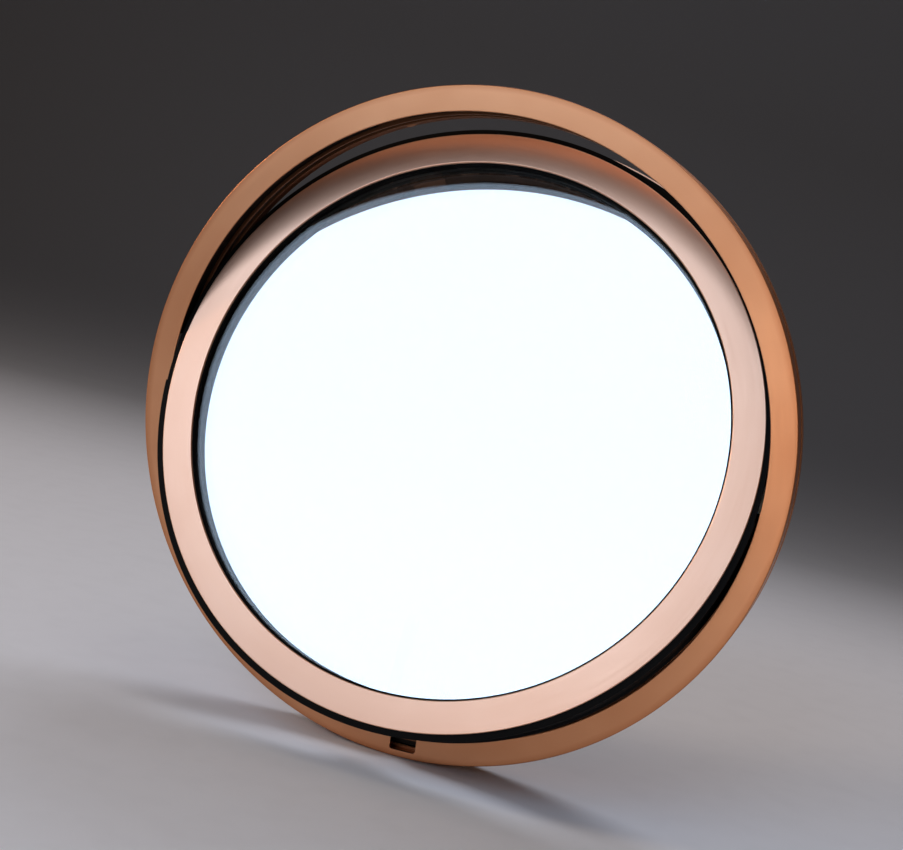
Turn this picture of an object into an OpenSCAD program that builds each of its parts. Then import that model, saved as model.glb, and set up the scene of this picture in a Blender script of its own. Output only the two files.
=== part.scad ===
// Round centre-pivot window: a thermally broken aluminium frame ring, and a glazed sash ring
// that tilts in it on two friction pivots. Origin on the pivot axis at the centre of the bore.
// The outside is towards -Y, the room towards +Y, up is +Z, and the pivot axis lies along X.
// Every y value below is measured from the pivot axis with the sash closed.

/* [Frame] */
// Radius of the bore that the sash swings in
bore_r = 327; // [280:1:420]
// Radial width of the frame's front face
frame_w = 27; // [26:1:40]
// From the pivot axis to the frame's front face
frame_front = 24.5; // [24:0.5:30]
// From the pivot axis to the frame's back face
frame_back = 30; // [29:0.5:40]
// Wall of the frame's extrusions
frame_wall = 3; // [2:0.25:3.5]
// Thickness of the lip in front of the seal groove
lip_t = 2; // [1.5:0.25:3]
// Depth of the seal groove behind the lip
groove_d = 6; // [5:0.5:8]
// Where the front extrusion ends and the thermal break starts
break_start = 4; // [2:0.5:6]
// Length of the thermal break between the two extrusions
break_len = 12; // [10:0.5:13]

/* [Weep slot] */
// Direction of the weep slot round the frame, 270 is straight down
weep_a = 273; // [265:1:280]
// Width of the weep slot
weep_w = 29; // [15:1:40]
// How far the weep slot reaches out from the bore
weep_h = 20; // [7:1:22]

/* [Frame seal] */
// How far the frame's seal stands back from the bore
frame_seal_back = 1.5; // [1:0.25:3]
// Direction of the opening in the frame's seal that lets air into the groove
seal_gap_a = 114.6; // [100:1:160]
// Width of the opening in the frame's seal
seal_gap_w = 37; // [20:1:60]

/* [Sash] */
// Radial gap between the sash and the bore
sash_gap = 7; // [7:0.5:10]
// Radial width of the sash's front face
sash_w = 33; // [31:1:45]
// From the pivot axis to the sash's front face
sash_front = 30; // [28:0.5:32]
// From the pivot axis to the sash's back face
sash_back = 27; // [26:0.5:28]
// Wall of the sash's extrusions
sash_wall = 3; // [2.5:0.25:3.5]
// Angle that the sash stands open
open_angle = 17; // [0:1:60]
// Where the sash's thermal break starts
sash_break_start = -4; // [-8:0.5:-3]
// Length of the sash's thermal break
sash_break_len = 10; // [8:0.5:12]

/* [Glazing] */
// Thickness of each pane
pane_t = 4; // [3:0.5:5]
// Gap between the panes
cavity = 8; // [6:1:18]
// How far the pane's edge is covered by the sash
edge_cover = 10; // [9:0.5:13]
// Clearance round the pane's edge
pane_gap = 4; // [3:0.5:5]
// Thickness of the outer glazing gasket
outer_gasket_t = 6; // [4:0.5:7]
// Thickness of the inner glazing gasket
inner_gasket_t = 5; // [3:0.5:6]
// How far the gaskets show inside the metal
gasket_show = 2; // [1:0.25:3]
// Height of the spacer bar between the panes
spacer_h = 7; // [5:0.5:8]
// How far the spacer bar shows inside the metal
spacer_show = 1.5; // [0.5:0.5:6]
// Direction of the joint in the glazing bead
bead_joint_a = 100; // [60:1:130]

/* [Edge seal] */
// Radial thickness of the sash's edge seal
edge_seal_t = 3; // [2:0.25:3]
// How far the seal's two fins stand beyond that
fin_t = 2.5; // [0.5:0.1:2.6]
// How far the front fin stands out below the pivots, where it only swings outwards
low_fin_t = 3.8; // [2.7:0.1:3.8]

/* [Stop rings] */
// Thickness of the stop rings' plate
stop_t = 3; // [2:0.5:4]
// How far the stop rings lap over their own ring and the other one
stop_lap = 18; // [16:0.5:19]
// Thickness of the soft seals that the stop rings carry
stop_seal_t = 2.7; // [2:0.1:2.8]
// Where the half rings stop, measured from the pivot axis
stop_end_a = 10; // [9.5:0.5:14]
// Radius of the screws in the stop rings
stop_screw_r = 2; // [1.5:0.25:2.5]

/* [Pivots] */
// Radius of the pivot pin
pin_r = 7; // [5:0.5:8]
// Running clearance round the pivot pin
pin_play = 0.05; // [0.02:0.01:0.09]
// Half height of the bearing block in the frame
bearing_hz = 32; // [28:1:36]
// Half height of the pin block in the sash
pin_block_hz = 25; // [22:1:27]
// Half depth of the pin block in the sash
pin_block_hy = 18; // [14:0.5:19]
// Radius of the friction washer
washer_r = 14; // [10:0.5:16]
// Radius of the pivot screws
pivot_screw_r = 2.5; // [2:0.25:3]

/* [Wall fixings] */
// Number of wall fixing holes round the frame
fixing_n = 8; // [8]
// Radius of the bore of the sleeve that each fixing screw goes through
fixing_r = 2.75; // [2.25:0.25:3]
// Wall of that sleeve
sleeve_wall = 1.1; // [0.8:0.05:1.1]
// Radius of the access hole in the bore
access_r = 4.2; // [3.75:0.1:4.2]
// Radius of the cap that closes the access hole
cap_r = 5.4; // [5:0.1:6]

/* [Latch] */
// Length of the latch case
case_w = 76; // [70:1:90]
// Width of the latch case, along the sash
case_h = 16; // [14:1:17]
// How far the latch case stands off the sash
case_t = 12; // [10:0.5:14]
// Length of the lever's grip from its pivot
grip_len = 112; // [90:1:130]
// Length of the lever's nose from its pivot
nose_len = 31; // [28:0.5:33]
// Width of the lever's grip
grip_w = 15; // [12:0.5:18]
// Thickness of the lever
lever_t = 8; // [6:0.5:10]
// Radius of the lever's pivot pin
lever_pin_r = 3; // [2.5:0.25:3.5]
// Length of the keeper on the frame
keeper_w = 42; // [36:1:50]

/* [Hidden] */
$fn = 180;
eps = 0.01;
seat = 0.1;        // clearance of a fixed fit
run_gap = 0.3;     // gap between pieces that move past each other
frame_r = bore_r + frame_w;
groove_r = bore_r + groove_d;
foot_t = 3;
foot_w = 6;
break_end = break_start + break_len;
web_t = 2.5;
chamfer = 0.8;

sash_r = bore_r - sash_gap;
sight_r = sash_r - sash_w;
pane_r = sight_r + edge_cover;
rebate_r = pane_r + pane_gap;
sash_break_end = sash_break_start + sash_break_len;
pane_front = -sash_front + sash_wall + outer_gasket_t;
pane_mid = pane_front + pane_t;
cavity_end = pane_mid + cavity;
pane_back = cavity_end + pane_t;
bead_front = pane_back + inner_gasket_t;
gasket_r = sight_r - gasket_show;
spacer_r = sight_r - spacer_show;
seal_base_r = sash_r + seat;
seal_r = sash_r + edge_seal_t;
fin_r = seal_r + fin_t;
low_fin_r = seal_r + low_fin_t;

stop_in_r = sash_r - stop_lap;
stop_out_r = bore_r + stop_lap;
foot_in_r = sash_r - 12;
overlap_y = frame_back + run_gap + stop_seal_t;
stop_screws_a = [196, 218, 240, 300, 322, 344];
overlap_screws_a = [16, 45, 75, 105, 135, 164];
screw_head_r = 2 * stop_screw_r;
stop_screw_ring = bore_r + 12;
overlap_screw_ring = sash_r - 6;

bearing_y0 = -frame_front + lip_t + 2.5;
bearing_y1 = frame_back - frame_wall - 0.7;
bearing_x = bore_r - 0.5;
pin_block_x = sash_r - 1;
pin_end_x = frame_r - frame_wall - 6;
bearing_screw_z = bearing_hz - 9;
pin_screw_z = pin_block_hz - 8;

fixing_y = (break_end + foot_t + frame_back - frame_wall) / 2;

case_r = (rebate_r + sash_r) / 2;
case_front = sash_back;
lever_y = case_front + case_t + 2;
keeper_top = lever_y - run_gap;
notch_hw = case_w / 2 + 6;
notch_r = bore_r + 1;
keeper_r = bore_r + 10;
keeper_h = 13;

// ---- Helpers ----

// A turned ring about Y. Its profile is drawn as [radius, y].
module turned() {
    rotate([-90, 0, 0]) rotate_extrude() children();
}

// A part of a turned ring, from angle a0 to a1, counted from +X towards +Z.
module turned_arc(a0, a1) {
    rotate([-90, 0, 0]) rotate([0, 0, -a1]) rotate_extrude(angle = a1 - a0) children();
}

module band(r0, r1, y0, y1) {
    translate([r0, y0]) square([r1 - r0, y1 - y0]);
}

// Puts what is drawn along +X on the ring at angle a, counted from +X towards +Z.
module at_angle(a) {
    rotate([0, -a, 0]) children();
}

// A box cut across the ring at +X and -X.
module side_boxes(x0, x1, y0, y1, hz) {
    for (side = [0, 1]) mirror([side, 0, 0])
        translate([x0, y0, -hz]) cube([x1 - x0, y1 - y0, 2 * hz]);
}

// A countersunk screw along +Y: the head's flat face at y = 0, the shaft behind it.
module screw(r, head_r, length) {
    rotate([-90, 0, 0]) {
        cylinder(r1 = head_r, r2 = r, h = head_r - r);
        cylinder(r = r, h = length);
    }
}

// The hole for such a screw.
module screw_hole(r, head_r, length) {
    translate([0, -eps, 0]) screw(r + seat / 2, head_r + seat / 2, length + 1);
}

// The sash stands open: its top is turned into the room and its bottom outwards.
module sash_place() {
    rotate([-open_angle, 0, 0]) children();
}

// ---- Frame, fixed in the wall ----

module frame_front_profile() {
    polygon([
        [bore_r, -frame_front + chamfer], [bore_r + chamfer, -frame_front],
        [frame_r - chamfer, -frame_front], [frame_r, -frame_front + chamfer],
        [frame_r, break_start], [frame_r - foot_w, break_start],
        [frame_r - foot_w, break_start - foot_t],
        [frame_r - frame_wall, break_start - foot_t],
        [frame_r - frame_wall, -frame_front + frame_wall],
        [groove_r + frame_wall, -frame_front + frame_wall],
        [groove_r + frame_wall, break_start], [bore_r, break_start],
        [bore_r, break_start - foot_t], [groove_r, break_start - foot_t],
        [groove_r, -frame_front + lip_t], [bore_r, -frame_front + lip_t]
    ]);
}

// Slot through the lip, open to the bore, with round outer corners.
module weep_slot() {
    corner = 3;
    depth = lip_t + 6;
    at_angle(weep_a) translate([bore_r - 2, -frame_front - 1, 0]) rotate([-90, 0, 0]) {
        translate([0, -weep_w / 2, 0]) cube([weep_h + 2 - corner, weep_w, depth + 1]);
        translate([0, -weep_w / 2 + corner, 0])
            cube([weep_h + 2, weep_w - 2 * corner, depth + 1]);
        for (side = [-1, 1])
            translate([weep_h + 2 - corner, side * (weep_w / 2 - corner), 0])
                cylinder(r = corner, h = depth + 1);
    }
}

// Room for the bearing blocks in the frame.
module bearing_pockets() {
    side_boxes(bore_r - 10, frame_r - frame_wall, bearing_y0, bearing_y1, bearing_hz);
}

module bearing_screw_holes() {
    for (side = [0, 1], z = [-1, 1]) mirror([side, 0, 0])
        translate([bearing_x, 0, z * bearing_screw_z]) rotate([0, 0, -90])
            screw_hole(pivot_screw_r, 2 * pivot_screw_r, frame_w);
}

module frame_front_ring() {
    color("#d9a583") difference() {
        turned() frame_front_profile();
        weep_slot();
        bearing_pockets();
        bearing_screw_holes();
    }
}

module frame_thermal_break() {
    in_r = bore_r + 3;
    out_r = frame_r - 3;
    mid = (break_start + break_end) / 2;
    color("#1d1c1b") difference() {
        turned() union() {
            band(in_r, in_r + web_t, break_start, break_end);
            band(out_r - web_t, out_r, break_start, break_end);
            band(in_r, out_r, mid - web_t / 2, mid + web_t / 2);
        }
        bearing_pockets();
    }
}

module frame_back_profile() {
    polygon([
        [bore_r, break_end], [bore_r + foot_w + frame_wall, break_end],
        [bore_r + foot_w + frame_wall, break_end + foot_t],
        [bore_r + frame_wall, break_end + foot_t],
        [bore_r + frame_wall, frame_back - frame_wall],
        [frame_r - frame_wall, frame_back - frame_wall],
        [frame_r - frame_wall, break_end + foot_t],
        [frame_r - foot_w, break_end + foot_t], [frame_r - foot_w, break_end],
        [frame_r, break_end], [frame_r, frame_back], [bore_r, frame_back]
    ]);
}

function fixing_angle(i) = (i + 0.5) * 360 / fixing_n;

module frame_back_ring() {
    color("#d9a583") difference() {
        turned() frame_back_profile();
        bearing_pockets();
        for (i = [0:fixing_n - 1]) at_angle(fixing_angle(i)) {
            translate([bore_r - 5, fixing_y, 0]) rotate([0, 90, 0])
                cylinder(r = access_r, h = 5 + frame_wall + 1);
            translate([frame_r - frame_wall - 1, fixing_y, 0]) rotate([0, 90, 0])
                cylinder(r = fixing_r + seat, h = frame_wall + 5);
        }
        for (a = stop_screws_a) at_angle(a)
            translate([stop_screw_ring, frame_back - frame_wall - 1, 0])
                rotate([-90, 0, 0]) cylinder(r = stop_screw_r + seat / 2, h = frame_wall + 2);
        keeper_screws_place()
            translate([0, frame_back - frame_wall - 1, 0])
                rotate([-90, 0, 0]) cylinder(r = stop_screw_r + seat / 2, h = frame_wall + 2);
    }
}

module frame_seal() {
    half = (seal_gap_w / groove_r) * 90 / PI;
    in_r = bore_r + frame_seal_back;
    front = -frame_front + lip_t + seat / 2;
    back = break_start - foot_t - seat / 2;
    color("#161515") difference() {
        turned_arc(seal_gap_a + half, seal_gap_a - half + 360) polygon([
            [in_r, front + 1], [in_r + 1, front], [groove_r - seat / 2, front],
            [groove_r - seat / 2, back], [in_r + 2, back], [in_r + 2, front + 9],
            [in_r, front + 7]
        ]);
        weep_slot();
        side_boxes(bore_r - 10, frame_r, bearing_y0 - seat, bearing_y1, bearing_hz + seat);
    }
}

// A cut for the latch in whatever rings the frame's back face near the bottom.
module latch_notch(y0, y1) {
    translate([-notch_hw, y0, -notch_r]) cube([2 * notch_hw, y1 - y0, notch_r - 200]);
}

module lower_stop_ring() {
    color("#d9a583") difference() {
        turned_arc(180 + stop_end_a, 360 - stop_end_a)
            band(stop_in_r, stop_out_r, frame_back, frame_back + stop_t);
        latch_notch(frame_back - 1, frame_back + stop_t + 1);
        for (a = stop_screws_a) at_angle(a)
            translate([stop_screw_ring, frame_back + stop_t, 0]) rotate([180, 0, 0])
                screw_hole(stop_screw_r, screw_head_r, stop_t);
        keeper_screws_place()
            translate([0, frame_back - 1, 0]) rotate([-90, 0, 0])
                cylinder(r = stop_screw_r + seat / 2, h = stop_t + 2);
    }
}

module lower_stop_seal() {
    color("#161515") difference() {
        turned_arc(180 + stop_end_a, 360 - stop_end_a)
            band(stop_in_r + 2, sash_r - 2, frame_back - stop_seal_t, frame_back);
        latch_notch(frame_back - stop_seal_t - 1, frame_back + 1);
    }
}

module lower_stop_screws() {
    color("#b9bcc0") for (a = stop_screws_a) at_angle(a)
        translate([stop_screw_ring, frame_back + stop_t, 0]) rotate([180, 0, 0])
            screw(stop_screw_r, screw_head_r, stop_t + frame_wall + 4);
}

// Bearing block on the +X side, set into the frame, with the bore for the pivot pin.
module bearing() {
    reach = frame_r - frame_wall - seat;
    color("#8f9296") difference() {
        intersection() {
            translate([bearing_x, bearing_y0 + seat, -bearing_hz + seat])
                cube([frame_w, bearing_y1 - bearing_y0 - 2 * seat, 2 * (bearing_hz - seat)]);
            turned() band(bore_r - 20, reach, bearing_y0, bearing_y1);
        }
        translate([bearing_x - 1, 0, 0]) rotate([0, 90, 0])
            cylinder(r = pin_r + pin_play, h = frame_w + 2);
        bearing_screw_holes();
    }
}

module bearing_right() bearing();

module bearing_left() mirror([1, 0, 0]) bearing();

module bearing_screws() {
    color("#b9bcc0") for (side = [0, 1], z = [-1, 1]) mirror([side, 0, 0])
        translate([bearing_x, 0, z * bearing_screw_z]) rotate([0, 0, -90])
            screw(pivot_screw_r, 2 * pivot_screw_r, frame_w - 1);
}

module friction_washers() {
    color("#e6e2d8") for (side = [0, 1]) mirror([side, 0, 0])
        translate([pin_block_x + run_gap, 0, 0]) rotate([0, 90, 0]) difference() {
            cylinder(r = washer_r, h = bearing_x - pin_block_x - run_gap);
            translate([0, 0, -1]) cylinder(r = pin_r + pin_play, h = 20);
        }
}

// Sleeves in the frame's chamber that carry the heads of the fixing screws.
module fixing_sleeves() {
    start = bore_r + frame_wall + 4;
    color("#8f9296") for (i = [0:fixing_n - 1]) at_angle(fixing_angle(i))
        translate([start, fixing_y, 0]) rotate([0, 90, 0]) difference() {
            cylinder(r = fixing_r + sleeve_wall, h = frame_r - frame_wall - seat - start);
            translate([0, 0, -1]) cylinder(r = fixing_r, h = frame_w);
        }
}

// Caps that close the access holes of the wall fixings.
module fixing_caps() {
    color("#c98f6a") for (i = [0:fixing_n - 1]) at_angle(fixing_angle(i))
        translate([bore_r - 0.9, fixing_y, 0]) rotate([0, 90, 0]) {
            cylinder(r = cap_r, h = 0.8);
            cylinder(r = access_r - seat / 2, h = 0.9 + frame_wall);
        }
}

module keeper_screws_place() {
    for (side = [-1, 1]) translate([side * keeper_w / 3, 0, -keeper_r]) children();
}

// Plate that the lever's nose hooks over, with a run-in at both ends.
module keeper() {
    base = frame_back + stop_t;
    h = keeper_top - base;
    color("#8f9296") difference() {
        translate([0, base, -keeper_r - keeper_h / 2]) linear_extrude(keeper_h) polygon([
            [-keeper_w / 2, 0], [keeper_w / 2, 0], [keeper_w / 2, h * 0.5],
            [keeper_w / 4, h], [-keeper_w / 4, h], [-keeper_w / 2, h * 0.5]
        ]);
        keeper_screws_place() translate([0, base - 1, 0]) rotate([-90, 0, 0])
            cylinder(r = stop_screw_r + seat / 2, h = h + 2);
        keeper_screws_place() translate([0, base + h * 0.4, 0]) rotate([-90, 0, 0])
            cylinder(r = screw_head_r, h = h);
    }
}

module keeper_screws() {
    base = frame_back + stop_t;
    h = keeper_top - base;
    color("#b9bcc0") keeper_screws_place()
        translate([0, base + h * 0.4, 0]) rotate([90, 0, 0]) {
            translate([0, 0, -1.6]) cylinder(r = screw_head_r - seat, h = 1.6);
            cylinder(r = stop_screw_r, h = h * 0.4 + stop_t + frame_wall + 3);
        }
}

// ---- Sash, drawn closed and then turned open ----

module pin_block_pockets() {
    difference() {
        side_boxes(rebate_r, sash_r + 10, -pin_block_hy, pin_block_hy, pin_block_hz);
        turned() band(0, rebate_r + sash_wall, -pin_block_hy - 1, pin_block_hy + 1);
    }
}

module pin_screw_holes() {
    for (side = [0, 1], z = [-1, 1]) mirror([side, 0, 0])
        translate([pin_block_x, 0, z * pin_screw_z]) rotate([0, 0, 90])
            screw_hole(pivot_screw_r, 2 * pivot_screw_r, sash_r - rebate_r);
}

module sash_front_profile() {
    front = -sash_front;
    polygon([
        [sight_r, front + chamfer], [sight_r + chamfer, front],
        [sash_r - chamfer, front], [sash_r, front + chamfer],
        [sash_r, sash_break_start], [sash_r - sash_wall, sash_break_start],
        [sash_r - sash_wall, front + sash_wall],
        [rebate_r + sash_wall, front + sash_wall],
        [rebate_r + sash_wall, sash_break_start], [rebate_r, sash_break_start],
        [rebate_r, front + sash_wall], [sight_r, front + sash_wall]
    ]);
}

module sash_front_ring() {
    color("#e8c4b2") sash_place() difference() {
        turned() sash_front_profile();
        pin_block_pockets();
        pin_screw_holes();
    }
}

module sash_thermal_break() {
    in_r = rebate_r + seat;
    out_r = sash_r - seat;
    mid = (sash_break_start + sash_break_end) / 2;
    color("#1d1c1b") sash_place() difference() {
        turned() union() {
            band(in_r, in_r + web_t, sash_break_start, sash_break_end);
            band(out_r - web_t, out_r, sash_break_start, sash_break_end);
            band(in_r, out_r, mid - web_t / 2, mid + web_t / 2);
        }
        pin_block_pockets();
        pin_screw_holes();
    }
}

module sash_back_ring() {
    color("#e8c4b2") sash_place() difference() {
        turned() polygon([
            [rebate_r, sash_break_end], [rebate_r + sash_wall, sash_break_end],
            [rebate_r + sash_wall, sash_back - sash_wall],
            [sash_r - sash_wall, sash_back - sash_wall],
            [sash_r - sash_wall, sash_break_end], [sash_r, sash_break_end],
            [sash_r, sash_back], [rebate_r, sash_back]
        ]);
        pin_block_pockets();
        for (a = overlap_screws_a) at_angle(a)
            translate([overlap_screw_ring, sash_back - sash_wall - 1, 0])
                rotate([-90, 0, 0]) cylinder(r = stop_screw_r + seat / 2, h = sash_wall + 2);
        case_screws_place() translate([0, sash_back - sash_wall - 1, 0])
            rotate([-90, 0, 0]) cylinder(r = stop_screw_r + seat / 2, h = sash_wall + 2);
    }
}

// A band with two fins. Below the pivots, clear of the pin blocks, the front fin is wider.
module sash_edge_seal() {
    front = -sash_front + 2;
    low_a = 5;
    color("#161515") sash_place() difference() {
        union() {
            turned() polygon([
                [seal_base_r, front], [fin_r, front], [fin_r, front + 3],
                [seal_r, front + 7], [seal_r, sash_back - 9], [fin_r, sash_back - 6],
                [fin_r, sash_back - 3], [seal_r, sash_back], [seal_base_r, sash_back]
            ]);
            turned_arc(180 + low_a, 360 - low_a) band(seal_r, low_fin_r, front, front + 3);
        }
        side_boxes(
            sash_r - 10, bore_r, -pin_block_hy - seat, pin_block_hy + seat,
            pin_block_hz + seat
        );
    }
}

module outer_glazing_gasket() {
    color("#161515") sash_place() turned() polygon([
        [gasket_r + 1, -sash_front + sash_wall], [sight_r + 8, -sash_front + sash_wall],
        [sight_r + 8, pane_front], [gasket_r, pane_front],
        [gasket_r, -sash_front + sash_wall + 1.5]
    ]);
}

module outer_pane() {
    color([0.86, 0.92, 0.96, 0.5]) sash_place() translate([0, pane_front, 0])
        rotate([-90, 0, 0]) cylinder(r = pane_r, h = pane_t);
}

module spacer_bar() {
    color("#7f8f9c") sash_place() turned()
        band(spacer_r, spacer_r + spacer_h, pane_mid, cavity_end);
}

module edge_sealant() {
    color("#23211f") sash_place() turned()
        band(spacer_r + spacer_h, pane_r, pane_mid, cavity_end);
}

module inner_pane() {
    color([0.86, 0.92, 0.96, 0.5]) sash_place() translate([0, cavity_end, 0])
        rotate([-90, 0, 0]) cylinder(r = pane_r, h = pane_t);
}

// Packers that carry the glass: two under it and one on each side above the pivots.
module setting_blocks() {
    half = 5;
    color("#3b5a7a") sash_place() for (a = [245, 295, 160, 20])
        turned_arc(a - half, a + half)
            band(pane_r + seat, rebate_r - seat, pane_front + 1, pane_back - 1);
}

module inner_glazing_gasket() {
    color("#161515") sash_place() turned() polygon([
        [gasket_r, pane_back], [sight_r + 8, pane_back], [sight_r + 8, bead_front],
        [gasket_r + 1, bead_front], [gasket_r, bead_front - 1.5]
    ]);
}

module glazing_bead() {
    joint = 1;
    wall = 2.5;
    lip = rebate_r - seat;
    half = joint / rebate_r * 90 / PI;
    color("#e8c4b2") sash_place() turned_arc(bead_joint_a + half, bead_joint_a - half + 360)
        polygon([
            [sight_r, bead_front], [lip, bead_front], [lip, bead_front + wall],
            [sight_r + wall, bead_front + wall], [sight_r + wall, sash_back - wall],
            [lip, sash_back - wall], [lip, sash_back],
            [sight_r + chamfer, sash_back], [sight_r, sash_back - chamfer]
        ]);
}

module upper_overlap_ring() {
    color("#e8c4b2") sash_place() difference() {
        turned_arc(stop_end_a, 180 - stop_end_a) polygon([
            [foot_in_r, sash_back], [sash_r, sash_back], [sash_r, overlap_y],
            [stop_out_r, overlap_y], [stop_out_r, overlap_y + stop_t],
            [foot_in_r, overlap_y + stop_t]
        ]);
        for (a = overlap_screws_a) at_angle(a)
            translate([overlap_screw_ring, overlap_y + stop_t, 0]) rotate([180, 0, 0])
                screw_hole(stop_screw_r, screw_head_r, overlap_y + stop_t - sash_back);
    }
}

module upper_overlap_seal() {
    color("#161515") sash_place() turned_arc(stop_end_a, 180 - stop_end_a)
        band(bore_r + 2, stop_out_r - 2, frame_back + run_gap, overlap_y);
}

module upper_overlap_screws() {
    color("#b9bcc0") sash_place() for (a = overlap_screws_a) at_angle(a)
        translate([overlap_screw_ring, overlap_y + stop_t, 0]) rotate([180, 0, 0])
            screw(stop_screw_r, screw_head_r, overlap_y + stop_t - sash_back + sash_wall + 4);
}

// Pin block on the +X side: a block let into the sash with the pivot pin turned on it.
module pivot_pin() {
    color("#8f9296") difference() {
        union() {
            intersection() {
                translate([0, -pin_block_hy + seat, -pin_block_hz + seat])
                    cube([pin_block_x, 2 * (pin_block_hy - seat), 2 * (pin_block_hz - seat)]);
                turned() band(
                    rebate_r + sash_wall + seat, sash_r, -pin_block_hy, pin_block_hy
                );
            }
            translate([pin_block_x - 2, 0, 0]) rotate([0, 90, 0])
                cylinder(r = pin_r, h = pin_end_x - pin_block_x + 2);
        }
        pin_screw_holes();
    }
}

module pivot_pin_right() sash_place() pivot_pin();

module pivot_pin_left() sash_place() mirror([1, 0, 0]) pivot_pin();

module pivot_pin_screws() {
    color("#b9bcc0") sash_place() for (side = [0, 1], z = [-1, 1]) mirror([side, 0, 0])
        translate([pin_block_x, 0, z * pin_screw_z]) rotate([0, 0, 90])
            screw(pivot_screw_r, 2 * pivot_screw_r, pin_block_x - rebate_r - run_gap);
}

// ---- Latch on the sash, drawn closed and unlocked ----

module case_screws_place() {
    for (side = [-1, 1]) translate([side * (case_w / 2 - 8), 0, -case_r]) children();
}

module latch_case() {
    bevel = 2;
    color("#e8c4b2") sash_place() difference() {
        translate([0, case_front, -case_r - case_h / 2]) linear_extrude(case_h) polygon([
            [-case_w / 2, 0], [case_w / 2, 0], [case_w / 2, case_t - bevel],
            [case_w / 2 - bevel, case_t], [-case_w / 2 + bevel, case_t],
            [-case_w / 2, case_t - bevel]
        ]);
        case_screws_place() translate([0, case_front + case_t, 0]) rotate([180, 0, 0])
            screw_hole(stop_screw_r, screw_head_r, case_t);
        translate([0, case_front - 1, -case_r]) rotate([-90, 0, 0])
            cylinder(r = lever_pin_r + seat / 2, h = case_t + 2);
    }
}

module latch_case_screws() {
    color("#b9bcc0") sash_place() case_screws_place()
        translate([0, case_front + case_t, 0]) rotate([180, 0, 0])
            screw(stop_screw_r, screw_head_r, case_t + sash_wall + 4);
}

module lever_pin() {
    color("#8f9296") sash_place() translate([0, 0, -case_r]) rotate([-90, 0, 0]) {
        translate([0, 0, case_front + seat])
            cylinder(r = lever_pin_r, h = lever_y + lever_t + run_gap - case_front);
        translate([0, 0, lever_y + lever_t + run_gap]) cylinder(r = 6, h = 2);
        translate([0, 0, case_front + case_t]) cylinder(r = 7, h = lever_y - case_front - case_t - run_gap);
    }
}

// Lever: a hub, a straight grip with a round end, and a short nose at right angles to it.
module latch_lever() {
    hub_r = 9;
    nose_w = 14;
    color("#e8c4b2") sash_place() translate([0, lever_y, -case_r]) rotate([90, 0, 0])
        mirror([0, 0, 1]) difference() {
            union() {
                cylinder(r = hub_r, h = lever_t);
                translate([-grip_w / 2, 0, 0]) cube([grip_w, grip_len - grip_w / 2, lever_t]);
                translate([0, grip_len - grip_w / 2, 0]) cylinder(r = grip_w / 2, h = lever_t);
                translate([-nose_len + nose_w / 2, -nose_w / 2, 0])
                    cube([nose_len - nose_w / 2, nose_w, lever_t]);
                translate([-nose_len + nose_w / 2, 0, 0]) cylinder(r = nose_w / 2, h = lever_t);
            }
            translate([0, 0, -1]) cylinder(r = lever_pin_r + pin_play, h = lever_t + 2);
        }
}

frame_front_ring();
frame_thermal_break();
frame_back_ring();
frame_seal();
lower_stop_ring();
lower_stop_seal();
lower_stop_screws();
bearing_left();
bearing_right();
bearing_screws();
friction_washers();
fixing_sleeves();
fixing_caps();
keeper();
keeper_screws();
sash_front_ring();
sash_thermal_break();
sash_back_ring();
sash_edge_seal();
outer_glazing_gasket();
outer_pane();
spacer_bar();
edge_sealant();
inner_pane();
setting_blocks();
inner_glazing_gasket();
glazing_bead();
upper_overlap_ring();
upper_overlap_seal();
upper_overlap_screws();
pivot_pin_left();
pivot_pin_right();
pivot_pin_screws();
latch_case();
latch_case_screws();
lever_pin();
latch_lever();
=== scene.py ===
"""Looks of a round centre-pivot window: a rolled frame and a glazed sash that stands part open."""

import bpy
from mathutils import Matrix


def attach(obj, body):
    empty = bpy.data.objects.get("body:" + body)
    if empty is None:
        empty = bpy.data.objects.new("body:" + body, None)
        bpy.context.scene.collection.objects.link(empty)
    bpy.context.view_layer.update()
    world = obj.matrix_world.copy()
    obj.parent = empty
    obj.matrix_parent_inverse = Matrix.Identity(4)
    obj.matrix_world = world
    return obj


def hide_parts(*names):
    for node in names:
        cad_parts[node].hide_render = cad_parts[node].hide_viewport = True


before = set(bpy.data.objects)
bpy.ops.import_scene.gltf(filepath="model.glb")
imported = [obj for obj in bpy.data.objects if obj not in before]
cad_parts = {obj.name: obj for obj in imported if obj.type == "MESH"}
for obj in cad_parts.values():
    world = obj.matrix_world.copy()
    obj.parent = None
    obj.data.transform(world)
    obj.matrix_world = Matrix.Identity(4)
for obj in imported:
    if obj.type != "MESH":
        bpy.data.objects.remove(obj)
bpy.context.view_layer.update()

# ---- Outer half of the frame ----
# The outer aluminium extrusion, rolled into a ring and butt-welded, then satin anodised in a
# copper shade. Its lip stands over the seal's groove, and the weep slot is milled through the lip.
import math

import bmesh
import bpy
from mathutils import Matrix, Vector

MM = 0.001
RING_STEPS = 256
ROUND_STEPS = 24  # sides of a screw hole
SMOOTH_UNDER = math.radians(35)  # edges flatter than this are shaded round

BORE_R, FRAME_R = 327, 354
FRAME_FRONT, FRAME_BACK = -24.5, 30
FRAME_WALL = 3
LIP_T = 2
GROOVE_R, GROOVE_BACK = 333, 1
BREAK_FROM, BREAK_TO = 4, 16
WEEP_R, WEEP_HALF, WEEP_ANGLE = 347, 14.5, 273


def at(radius, depth, angle=0.0):
    """A place on the ring in metres: radius and depth in mm, angle counted from +X towards +Z."""
    a = math.radians(angle)
    return Vector((radius * math.cos(a), depth, radius * math.sin(a))) * MM


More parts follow.
